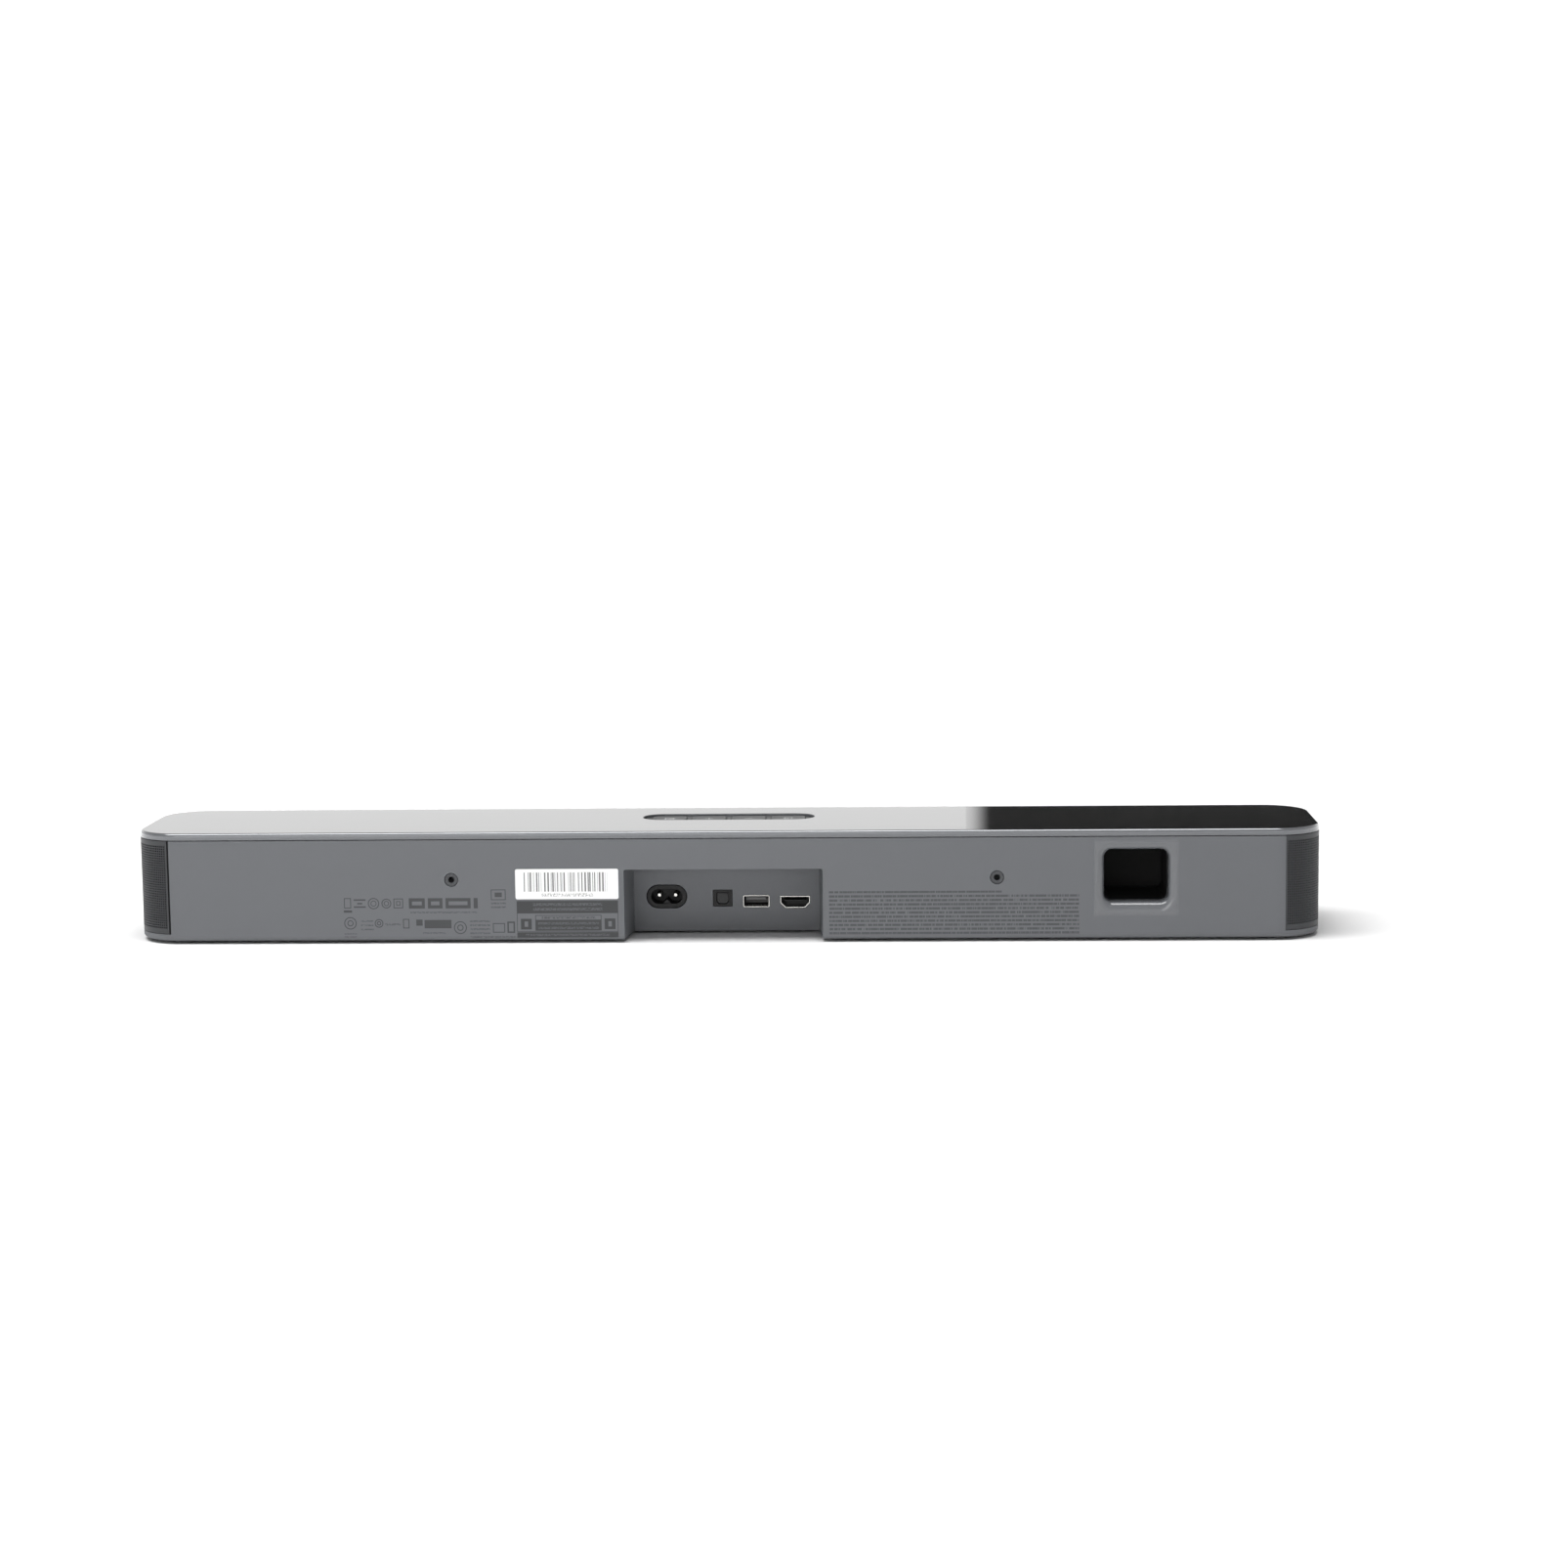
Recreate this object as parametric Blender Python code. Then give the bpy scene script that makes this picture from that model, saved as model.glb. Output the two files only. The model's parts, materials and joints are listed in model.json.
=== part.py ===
"""A compact soundbar as separate solids, in metres with +Z up.

X runs along the bar, -Y is the listener's side and +Y is the wall's side. The origin is on the
table, under the middle of the bar. Left and right in the names are the listener's, so left is -X.
Each make_ function below makes one piece, or a group of like pieces, and says what it is.
"""

import math

import bmesh
import bpy

MM = 0.001

# The whole bar.
LENGTH = 614 * MM
DEPTH = 90 * MM
HEIGHT = 58 * MM
CORNER_RADIUS = 24 * MM
CORNER_STEPS = 8
GAP = 0.3 * MM
REAR = DEPTH / 2

# Heights where the shells meet.
TUB_BOTTOM = 1.5 * MM
FLOOR_TOP = 3.9 * MM
LIP_TOP = 5.1 * MM
TUB_TOP = 54 * MM
LID_BOTTOM = 54.4 * MM
LID_UNDERSIDE = 56 * MM

# How far the walls stand back from the outline, and the corner point where the rear wall ends.
GRILLE_THICKNESS = 0.9 * MM
TUB_OFFSET = 1.5 * MM
TUB_INNER_OFFSET = 3.9 * MM
LID_OFFSET = 2 * MM
REAR_WALL_STEP = 7

# Connector bay in the rear wall, open below. It narrows towards its back wall.
BAY_HALF_WIDTH = 51.4 * MM
BAY_DRAFT = 2.9 * MM
BAY_BACK = 18 * MM
BAY_TOP = 38.2 * MM
BAY_WALL = 2.4 * MM

# Sockets in the bay: centre along X, centre height, width and height.
INLET = (31.4 * MM, 19.7 * MM, 20.8 * MM, 12 * MM)
OPTICAL = (2.1 * MM, 18.7 * MM, 9.8 * MM, 8.5 * MM)
USB = (-15.5 * MM, 16.95 * MM, 13.7 * MM, 6.2 * MM)
HDMI = (-35.85 * MM, 16.5 * MM, 15.4 * MM, 6.2 * MM)
HDMI_CHAMFER = 2.6 * MM
PIN_OFFSET = 4.3 * MM
SHUTTER_AXIS = (2.1 * MM, 16.6 * MM, 21.2 * MM)

# Bass port, wall inserts and label on the rear wall.
PORT_CENTRE = (-211.7 * MM, 33.6 * MM)
PORT_SIZE = (32.6 * MM, 27 * MM)
PORT_CORNER = 4 * MM
PORT_COLLAR_FRONT = 36.5 * MM
INSERT_X = 140.6 * MM
INSERT_Z = 33.3 * MM
LABEL_CENTRE = (80.75 * MM, 30.85 * MM)
LABEL_SIZE = (53.4 * MM, 15.8 * MM)

# Places on the floor, along X and Y: rubber feet, screws and the posts under the boards.
FOOT_PLACES = [(x * MM, y * MM) for x in (235, -235) for y in (32, -32)]
FOOT_SIZE = (30 * MM, 8 * MM)
SCREW_PLACES = [(x * MM, y * MM) for x, y in ((197, -25), (98, 30), (-98, 30), (-197, -25))]
POST_PLACES = [(x * MM, y * MM) for x in (92, 22, -18, -92) for y in (10, -24)]

# Keys and their tray in the lid.
TRAY_SIZE = (91 * MM, 23 * MM)
TRAY_Y = -9 * MM
TRAY_COUNT = 28
KEY_NAMES = ("power_button", "volume_down_button", "volume_up_button", "source_button")
KEY_PITCH = 21 * MM
KEY_SIZE = (18 * MM, 16 * MM)
KEY_CORNER = 3 * MM
KEY_BOTTOM = 53.3 * MM

# One driver at each side, on the baffle behind the grille.
DRIVER_X = 145 * MM
DRIVER_Z = 29 * MM
DRIVER_COUNT = 20
BAFFLE_HALF_WIDTH = 282.5 * MM
BAFFLE_FRONT = -40.8 * MM
BAFFLE_BACK = -38.4 * MM
BAFFLE_HOLE = (70 * MM, 38 * MM)


# Shapes.


def rounded_rectangle(width, height, radius, steps, centre=(0, 0)):
    """Points round a rectangle with round corners, anticlockwise from its right side."""
    points = []
    for side_u, side_v, start in ((1, 1, 0), (-1, 1, 90), (-1, -1, 180), (1, -1, 270)):
        for step in range(steps + 1):
            angle = math.radians(start + 90 * step / steps)
            u = centre[0] + side_u * (width / 2 - radius) + radius * math.cos(angle)
            v = centre[1] + side_v * (height / 2 - radius) + radius * math.sin(angle)
            points.append((u, v))
    return points


def racetrack(width, height, count, centre=(0, 0)):
    """Points round an oval with straight long sides, or round a circle where the sizes are equal."""
    points = []
    for index in range(count):
        angle = 2 * math.pi * (index + 0.5) / count
        shift = math.copysign((width - height) / 2, math.cos(angle))
        u = centre[0] + shift + height / 2 * math.cos(angle)
        points.append((u, centre[1] + height / 2 * math.sin(angle)))
    return points


def on_plane(points, plane, level):
    """Flat points set in space: plane names the two axes they use, and level is on the third."""
    if plane == "XY":
        return [(u, v, level) for u, v in points]
    if plane == "XZ":
        return [(u, level, v) for u, v in points]
    return [(level, u, v) for u, v in points]


def loft(rings, closed=False):
    """A solid skinned over rings of equal length. Its ends are capped, or meet if it is closed."""
    shape = bmesh.new()
    loops = [[shape.verts.new(point) for point in ring] for ring in rings]
    pairs = list(zip(loops, loops[1:]))
    if closed:
        pairs.append((loops[-1], loops[0]))
    else:
        shape.faces.new(loops[0])
        shape.faces.new(loops[-1])
    for first, second in pairs:
        for index, corner in enumerate(first):
            following = (index + 1) % len(first)
            shape.faces.new((corner, first[following], second[following], second[index]))
    bmesh.ops.recalc_face_normals(shape, faces=shape.faces)
    return shape


def prism(points, plane, low, high):
    return loft([on_plane(points, plane, low), on_plane(points, plane, high)])


def block(low, high):
    """A box between two corners given in millimetres."""
    (left, front, bottom), (right, back, top) = low, high
    corners = [(left, front), (right, front), (right, back), (left, back)]
    corners = [(x * MM, y * MM) for x, y in corners]
    return prism(corners, "XY", bottom * MM, top * MM)


def turned(profile, plane, centre, count=16, closed=False):
    """A round piece. The profile lists (radius, level) in millimetres along the plane's normal."""
    rings = []
    for radius, level in profile:
        circle = racetrack(2 * radius * MM, 2 * radius * MM, count, centre)
        rings.append(on_plane(circle, plane, level * MM))
    return loft(rings, closed)


def bar_outline(offset):
    """The bar's plan, moved inwards by offset."""
    sides = (LENGTH - 2 * offset, DEPTH - 2 * offset)
    return rounded_rectangle(*sides, CORNER_RADIUS - offset, CORNER_STEPS)


def quarter_round(radius, steps):
    """(inset, drop) along a quarter of a circle, from an upright side to a flat face."""
    angles = [math.radians(90 * step / steps) for step in range(steps + 1)]
    return [(radius * (1 - math.cos(a)), radius * math.sin(a)) for a in angles]


def together(shapes):
    """Several shapes in one mesh."""
    whole = bmesh.new()
    for shape in shapes:
        part = bpy.data.meshes.new("part")
        shape.to_mesh(part)
        shape.free()
        whole.from_mesh(part)
        bpy.data.meshes.remove(part)
    return whole


# Objects.


def finish(name, colour, roughness, metallic=0.0):
    """A named material."""
    made = bpy.data.materials.new(name)
    made.use_nodes = True
    shader = made.node_tree.nodes["Principled BSDF"]
    shader.inputs["Base Color"].default_value = (*colour, 1)
    shader.inputs["Roughness"].default_value = roughness
    shader.inputs["Metallic"].default_value = metallic
    made.diffuse_color = (*colour, 1)
    return made


def piece(name, shape, material, origin=(0, 0, 0)):
    """A named object whose origin is at a point in space and whose shape stays where it was made."""
    bmesh.ops.translate(shape, verts=shape.verts, vec=[-value for value in origin])
    mesh = bpy.data.meshes.new(name)
    shape.to_mesh(mesh)
    shape.free()
    mesh.shade_smooth()
    mesh.set_sharp_from_angle(angle=math.radians(30))
    mesh.materials.append(material)
    made = bpy.data.objects.new(name, mesh)
    made.location = origin
    bpy.context.scene.collection.objects.link(made)
    return made


def combine(target, label, shapes, operation):
    """A Boolean whose other half is a hidden helper."""
    helper = piece(f"{target.name}_{label}", together(shapes), target.data.materials[0])
    helper.hide_render = True
    helper.display_type = "WIRE"
    change = target.modifiers.new(label, "BOOLEAN")
    change.operation = operation
    change.solver = "EXACT"
    change.object = helper


def cut(target, label, *shapes):
    combine(target, label, shapes, "DIFFERENCE")


def add(target, label, *shapes):
    combine(target, label, shapes, "UNION")


def soften(target, width, segments=2):
    """Rounds every sharp edge."""
    edges = target.modifiers.new("rounded_edges", "BEVEL")
    edges.width = width
    edges.segments = segments
    edges.limit_method = "ANGLE"


# Shells.


def hdmi_outline(grow):
    """A rectangle with its two lower corners cut off, grown all round."""
    x, z, width, height = HDMI
    right = width / 2 + grow
    top = height / 2 + grow
    chamfer = HDMI_CHAMFER + grow / 2
    points = [(right, chamfer - top), (right, top), (-right, top), (-right, chamfer - top)]
    points += [(chamfer - right, -top), (right - chamfer, -top)]
    return [(x + u, z + v) for u, v in points]


def socket_openings():
    """The holes for the four sockets through the bay's back wall."""
    through = (BAY_BACK - BAY_WALL - 1 * MM, BAY_BACK + 1 * MM)
    x, z, width, height = INLET
    openings = [prism(racetrack(width + 2 * GAP, height + 2 * GAP, 28, (x, z)), "XZ", *through)]
    for x, z, width, height in (OPTICAL, USB):
        outline = rounded_rectangle(width + 2 * GAP, height + 2 * GAP, 0.8 * MM, 2, (x, z))
        openings.append(prism(outline, "XZ", *through))
    openings.append(prism(hdmi_outline(GAP), "XZ", *through))
    return openings


def bay_half_width(level):
    return BAY_HALF_WIDTH + BAY_DRAFT * (level - REAR) / (REAR - BAY_BACK)


def bay_block():
    """The bay's walls, still solid."""
    rings = []
    for level in (REAR - 2 * MM, BAY_BACK - BAY_WALL):
        half = bay_half_width(level) + BAY_WALL
        low = TUB_BOTTOM + 1 * MM
        high = BAY_TOP + BAY_WALL
        rings.append(on_plane([(half, low), (half, high), (-half, high), (-half, low)], "XZ", level))
    return loft(rings)


def bay_cavity():
    """The space in the bay: open to the rear and below, and wider at its two feet."""
    foot = 2 * MM
    crown = 1 * MM
    below = -2 * MM
    rings = []
    for level in (REAR + 1 * MM, BAY_BACK):
        half = bay_half_width(level)
        right = [(half + foot, below), (half + foot, TUB_BOTTOM), (half, TUB_BOTTOM + foot)]
        right += [(half, BAY_TOP - crown), (half - crown, BAY_TOP)]
        left = [(-u, v) for u, v in reversed(right)]
        rings.append(on_plane(right + left, "XZ", level))
    return loft(rings)


def port_mouth():
    """The bass port's opening: a straight bore whose edge rolls out onto the rear wall."""
    roll_depth = 4.5 * MM
    roll_side = 4.2 * MM
    roll_height = 4.9 * MM
    roll_corner = 3.5 * MM
    drop = 0.85 * MM
    steps = 6
    path = [(0, PORT_COLLAR_FRONT - 2 * MM)]
    for step in range(steps + 1):
        angle = math.radians(90 * step / steps)
        path.append((1 - math.cos(angle), REAR - roll_depth * (1 - math.sin(angle))))
    path.append((1, REAR + 1 * MM))
    rings = []
    for share, level in path:
        width = PORT_SIZE[0] + 2 * roll_side * share
        height = PORT_SIZE[1] + 2 * roll_height * share
        centre = (PORT_CENTRE[0], PORT_CENTRE[1] - drop * share)
        corner = PORT_CORNER + roll_corner * share
        rings.append(on_plane(rounded_rectangle(width, height, corner, 5, centre), "XZ", level))
    return loft(rings)


def make_rear_housing(material):
    """The tub: floor with a lip round its foot, walls set back for the grille, full-size rear wall."""
    path = [(TUB_INNER_OFFSET, FLOOR_TOP), (TUB_INNER_OFFSET, TUB_TOP), (TUB_OFFSET, TUB_TOP)]
    path += [(TUB_OFFSET, LIP_TOP), (0, LIP_TOP)]
    foot_round = 2 * MM
    for inset, drop in quarter_round(foot_round, 4):
        path.append((inset, TUB_BOTTOM + foot_round - drop))
    tub = piece(
        "rear_housing", loft([on_plane(bar_outline(o), "XY", z) for o, z in path]), material
    )

    outline = bar_outline(0)
    wall = outline[REAR_WALL_STEP : 2 * CORNER_STEPS + 2 - REAR_WALL_STEP]
    inner = REAR - TUB_INNER_OFFSET + 1 * MM
    wall += [(wall[-1][0], inner), (wall[0][0], inner)]
    add(tub, "rear_wall", prism(wall, "XY", LIP_TOP - 1 * MM, TUB_TOP))

    bosses = [
        turned([(6, 33), (6, 42)], "XZ", (side * INSERT_X, INSERT_Z)) for side in (1, -1)
    ]
    posts = [turned([(2.5, 3.4), (2.5, 11.1)], "XY", place, 10) for place in POST_PLACES]
    screw_bosses = [turned([(4, 3.4), (4, 12)], "XY", place, 12) for place in SCREW_PLACES]
    collar = block((-237, 36.5, 10), (-186.5, 42.5, 53.2))
    add(tub, "fittings", bay_block(), collar, *bosses, *posts, *screw_bosses)

    cut(tub, "bay", bay_cavity())
    insert_holes = [
        turned([(3.6, 34.5), (3.6, 46)], "XZ", (side * INSERT_X, INSERT_Z), 20) for side in (1, -1)
    ]
    foot_seats = []
    for place in FOOT_PLACES:
        seat = racetrack(FOOT_SIZE[0] + 2 * GAP, FOOT_SIZE[1] + 2 * GAP, 16, place)
        foot_seats.append(prism(seat, "XY", -1 * MM, 2.5 * MM))
    screw_profile = [(3.6, -1), (3.6, 2.9), (1.5, 2.9), (1.5, 13)]
    screw_holes = [turned(screw_profile, "XY", place, 12) for place in SCREW_PLACES]
    field_size = (LABEL_SIZE[0] + 2 * GAP, LABEL_SIZE[1] + 2 * GAP)
    field = rounded_rectangle(*field_size, 1 * MM, 3, LABEL_CENTRE)
    label_field = prism(field, "XZ", REAR - 2 * GAP, REAR + 1 * MM)
    front = block((-282.8, -60, 5.4), (282.8, -38.1, 60))
    holes = socket_openings() + insert_holes + foot_seats + screw_holes
    cut(tub, "holes", front, port_mouth(), label_field, *holes)


def make_top_cover(material):
    """The gloss lid: a flat plate, a thin band that stands on the tub, and four screw bosses."""
    edge = 1.6 * MM
    path = [(LID_OFFSET, LID_UNDERSIDE), (LID_OFFSET, LID_BOTTOM), (0, LID_BOTTOM)]
    for inset, rise in quarter_round(edge, 4):
        path.append((inset, HEIGHT - edge + rise))
    lid = piece("top_cover", loft([on_plane(bar_outline(o), "XY", z) for o, z in path]), material)
    bosses = [turned([(3.5, 12.3), (3.5, 56.8)], "XY", place, 12) for place in SCREW_PLACES]
    add(lid, "bosses", *bosses)
    tray = racetrack(*TRAY_SIZE, TRAY_COUNT, (0, TRAY_Y))
    opening = prism(tray, "XY", LID_UNDERSIDE - 1 * MM, HEIGHT + 1 * MM)
    screw_holes = [turned([(1.5, 11), (1.5, 24)], "XY", place, 12) for place in SCREW_PLACES]
    cut(lid, "holes", opening, *screw_holes)


def make_front_grille(material):
    """The perforated metal wrap, from one rear corner round the front to the other, as a plain skin."""
    low = LIP_TOP + GAP
    high = TUB_TOP
    last = REAR_WALL_STEP - 1
    full_turn = 4 * (CORNER_STEPS + 1)
    end_angle = math.radians(77.5)
    edges = []
    for offset in (0, GRILLE_THICKNESS):
        outline = bar_outline(offset)
        count = full_turn - 2 * (CORNER_STEPS - last) - 1
        path = [outline[(last - index) % full_turn] for index in range(count)]
        end_x = LENGTH / 2 - CORNER_RADIUS + (CORNER_RADIUS - offset) * math.cos(end_angle)
        end_y = REAR - CORNER_RADIUS + (CORNER_RADIUS - offset) * math.sin(end_angle)
        edges.append([(end_x, end_y), *path, (-end_x, end_y)])
    rings = []
    for outer, inner in zip(*edges):
        rings.append([(*outer, low), (*outer, high), (*inner, high), (*inner, low)])
    piece("front_grille", loft(rings), material)


def make_rear_fittings(plastic, steel, paper):
    """The duct behind the bass port, the two threaded inserts and the label."""
    corner = PORT_CORNER
    wall = 2.2 * MM
    flange = 6.4 * MM
    rings = []
    for grow, level in ((0, 36.2), (0, -5), (wall, -5), (wall, 34.6), (flange, 34.6), (flange, 36.2)):
        size = (PORT_SIZE[0] + 2 * grow, PORT_SIZE[1] + 2 * grow)
        outline = rounded_rectangle(*size, corner + grow, 4, PORT_CENTRE)
        rings.append(on_plane(outline, "XZ", level * MM))
    piece("bass_port_tube", loft(rings, closed=True), plastic)
    profile = [(3.3, 44.6), (3.3, 35.2), (1.7, 35.2), (1.7, 44.2), (2.1, 44.6)]
    for side, name in ((-1, "wall_insert_left"), (1, "wall_insert_right")):
        piece(name, turned(profile, "XZ", (side * INSERT_X, INSERT_Z), 20, closed=True), steel)
    sticker = rounded_rectangle(*LABEL_SIZE, 1 * MM, 3, LABEL_CENTRE)
    piece("rating_label", prism(sticker, "XZ", 44.7 * MM, 44.95 * MM), paper)


def make_feet_and_screws(rubber, steel):
    """Four rubber feet pressed into the floor, and four screws that pull the lid onto the tub."""
    for number, place in enumerate(FOOT_PLACES, 1):
        rings = []
        for inset, level in ((0.5, 0), (0, 0.5), (0, 2.2)):
            size = (FOOT_SIZE[0] - 2 * inset * MM, FOOT_SIZE[1] - 2 * inset * MM)
            rings.append(on_plane(racetrack(*size, 16, place), "XY", level * MM))
        piece(f"rubber_foot_{number}", loft(rings), rubber)
    profile = [(3.2, 1.7), (3.2, 2.6), (1.2, 2.6), (1.2, 22)]
    for number, place in enumerate(SCREW_PLACES, 1):
        piece(f"case_screw_{number}", turned(profile, "XY", place, 12), steel)


# Controls.


def key_centre(index):
    """Keys run from the listener's left, each a pitch from the last."""
    middle = (len(KEY_NAMES) - 1) / 2
    return ((index - middle) * KEY_PITCH, TRAY_Y)


def key_outline(grow, centre):
    """A key's outline, grown all round."""
    size = (KEY_SIZE[0] + 2 * grow, KEY_SIZE[1] + 2 * grow)
    return rounded_rectangle(*size, KEY_CORNER + grow, 3, centre)


def make_controls(plastic, key_plastic, board, switch_plastic):
    """The tray in the lid, the four keys that travel in it, and their switches on a board below."""
    rings = []
    for grow, level in ((3, 54.5), (3, 55.7), (-0.3, 55.7), (-0.3, 56.8)):
        size = (TRAY_SIZE[0] + 2 * grow * MM, TRAY_SIZE[1] + 2 * grow * MM)
        rings.append(on_plane(racetrack(*size, TRAY_COUNT, (0, TRAY_Y)), "XY", level * MM))
    tray = piece("control_tray", loft(rings), plastic)
    key_holes = []
    for index, name in enumerate(KEY_NAMES):
        centre = key_centre(index)
        key_holes.append(prism(key_outline(GAP, centre), "XY", 54 * MM, 58 * MM))
        rings = []
        for grow, level in ((1, 53.3), (1, 54.2), (0, 54.2), (0, 56.9), (-0.4, 57.3)):
            rings.append(on_plane(key_outline(grow * MM, centre), "XY", level * MM))
        piece(name, loft(rings), key_plastic, (*centre, KEY_BOTTOM))
        left, front = centre[0] / MM - 3, centre[1] / MM - 3
        switch = piece(
            f"key_switch_{index + 1}",
            block((left, front, 50.5), (left + 6, front + 6, 52.1)),
            switch_plastic,
        )
        add(switch, "plunger", turned([(1.6, 51.5), (1.6, 52.6)], "XY", centre, 12))
    cut(tray, "key_holes", *key_holes)
    posts = [turned([(1.5, 50.5), (1.5, 55)], "XY", (x * MM, TRAY_Y), 10) for x in (43, -43)]
    add(tray, "posts", *posts)
    piece("button_board", block((-45.5, -19, 49), (45.5, 1, 50.2)), board)


# Sockets.


def make_power_inlet(plastic, metal):
    """A two-pin mains inlet: a socket with round ends and a notch below, and two recessed pins."""
    x, z, width, height = INLET
    outline = racetrack(width, height, 28, (x, z))
    body = piece("power_inlet", prism(outline, "XZ", -2 * MM, BAY_BACK), plastic)
    socket = racetrack(16.4 * MM, 7.8 * MM, 28, (x, z))
    cut(body, "socket", prism(socket, "XZ", 7 * MM, 19 * MM))
    notch = [(x - 2.6 * MM, z - 4.4 * MM), (x + 2.6 * MM, z - 4.4 * MM), (x, z - 1.6 * MM)]
    add(body, "notch", prism(notch, "XZ", 6.5 * MM, 17 * MM))
    places = [(x - PIN_OFFSET, z), (x + PIN_OFFSET, z)]
    cut(body, "pin_holes", *[turned([(1.5, -3), (1.5, 8)], "XZ", place, 12) for place in places])
    profile = [(1.2, -4), (1.2, 12.8), (0.7, 13.5)]
    for name, place in zip(("inlet_pin_left", "inlet_pin_right"), places):
        piece(name, turned(profile, "XZ", place, 12), metal)


def cut_corners(centre, width, height, corner):
    """A rectangle with its two lower corners cut off."""
    right, top = width / 2, height / 2
    points = [(right, corner - top), (right, top), (-right, top), (-right, corner - top)]
    points += [(corner - right, -top), (right - corner, -top)]
    return [(centre[0] + u, centre[1] + v) for u, v in points]


def make_optical_jack(plastic):
    """An optical socket closed by a shutter, whose rod turns in pockets at the top of the mouth."""
    x, z, width, height = OPTICAL
    outline = rounded_rectangle(width, height, 0.5 * MM, 2, (x, z))
    jack = piece("optical_jack", prism(outline, "XZ", 5 * MM, BAY_BACK - 0.1 * MM), plastic)
    mouth = cut_corners((x, z), 6.4 * MM, 6.4 * MM, 1.3 * MM)
    cut(jack, "mouth", prism(mouth, "XZ", 7 * MM, 19 * MM))
    pivot = SHUTTER_AXIS[1:]
    ends = (x / MM - 4.1, x / MM + 4.1)
    cut(jack, "pockets", turned([(0.9, ends[0]), (0.9, ends[1])], "YZ", pivot, 12))

    flap_height = 5.4 * MM
    flap_centre = (x, SHUTTER_AXIS[2] - flap_height / 2)
    flap = cut_corners(flap_centre, 5.8 * MM, flap_height, 1.2 * MM)
    half_thickness = 0.3 * MM
    faces = (SHUTTER_AXIS[1] - half_thickness, SHUTTER_AXIS[1] + half_thickness)
    shutter = piece("optical_shutter", prism(flap, "XZ", *faces), plastic, SHUTTER_AXIS)
    rod = turned([(0.55, x / MM - 3.7), (0.55, x / MM + 3.7)], "YZ", pivot, 12)
    add(shutter, "rod", rod)


def make_metal_sockets(metal, plastic):
    """The USB and HDMI sockets: a folded metal shell round a plastic tongue on a block."""
    x, z, width, height = USB
    wall = 0.35 * MM
    front = BAY_BACK - 0.1 * MM
    outline = rounded_rectangle(width, height, 0.8 * MM, 2, (x, z))
    shell = piece("usb_shell", prism(outline, "XZ", 4 * MM, front), metal)
    inside = rounded_rectangle(width - 2 * wall, height - 2 * wall, 0.5 * MM, 2, (x, z))
    cut(shell, "inside", prism(inside, "XZ", 5 * MM, 19 * MM))
    x, z = x / MM, z / MM
    tongue = piece("usb_tongue", block((x - 6.1, 5.3, z - 2.4), (x + 6.1, 7.8, z + 2.4)), plastic)
    add(tongue, "blade", block((x - 5.5, 7, z + 0.3), (x + 5.5, 16.4, z + 2.1)))

    x, z = HDMI[0] / MM, HDMI[1] / MM
    shell = piece("hdmi_shell", prism(hdmi_outline(0), "XZ", 6 * MM, front), metal)
    cut(shell, "inside", prism(hdmi_outline(-0.5 * MM), "XZ", 7 * MM, 19 * MM))
    tongue = piece("hdmi_tongue", block((x - 6.5, 7.3, z - 0.2), (x + 6.5, 9.5, z + 2.2)), plastic)
    add(tongue, "blade", block((x - 5.7, 9, z), (x + 5.7, 16.2, z + 1.1)))


# Drivers.


def driver_loft(profile, side, closed=False):
    """An oval piece of a driver. The profile lists width, height and level in millimetres."""
    rings = []
    for width, height, level in profile:
        outline = racetrack(width * MM, height * MM, DRIVER_COUNT, (side * DRIVER_X, DRIVER_Z))
        rings.append(on_plane(outline, "XZ", level * MM))
    return loft(rings, closed)


def make_baffle(material, clear):
    """The board that carries both drivers, with a window in the middle."""
    half = BAFFLE_HALF_WIDTH / MM
    baffle = piece("front_baffle", block((-half, -40.8, 4.2), (half, -38.4, 53.7)), material)
    holes = []
    for side in (1, -1):
        outline = racetrack(*BAFFLE_HOLE, DRIVER_COUNT, (side * DRIVER_X, DRIVER_Z))
        holes.append(prism(outline, "XZ", BAFFLE_FRONT - 1 * MM, BAFFLE_BACK + 1 * MM))
    holes.append(block((-10, -42, 25), (10, -37, 33)))
    cut(baffle, "holes", *holes)
    piece("status_window", block((-9.7, -40.6, 25.3), (9.7, -38.7, 32.7)), clear)


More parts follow.
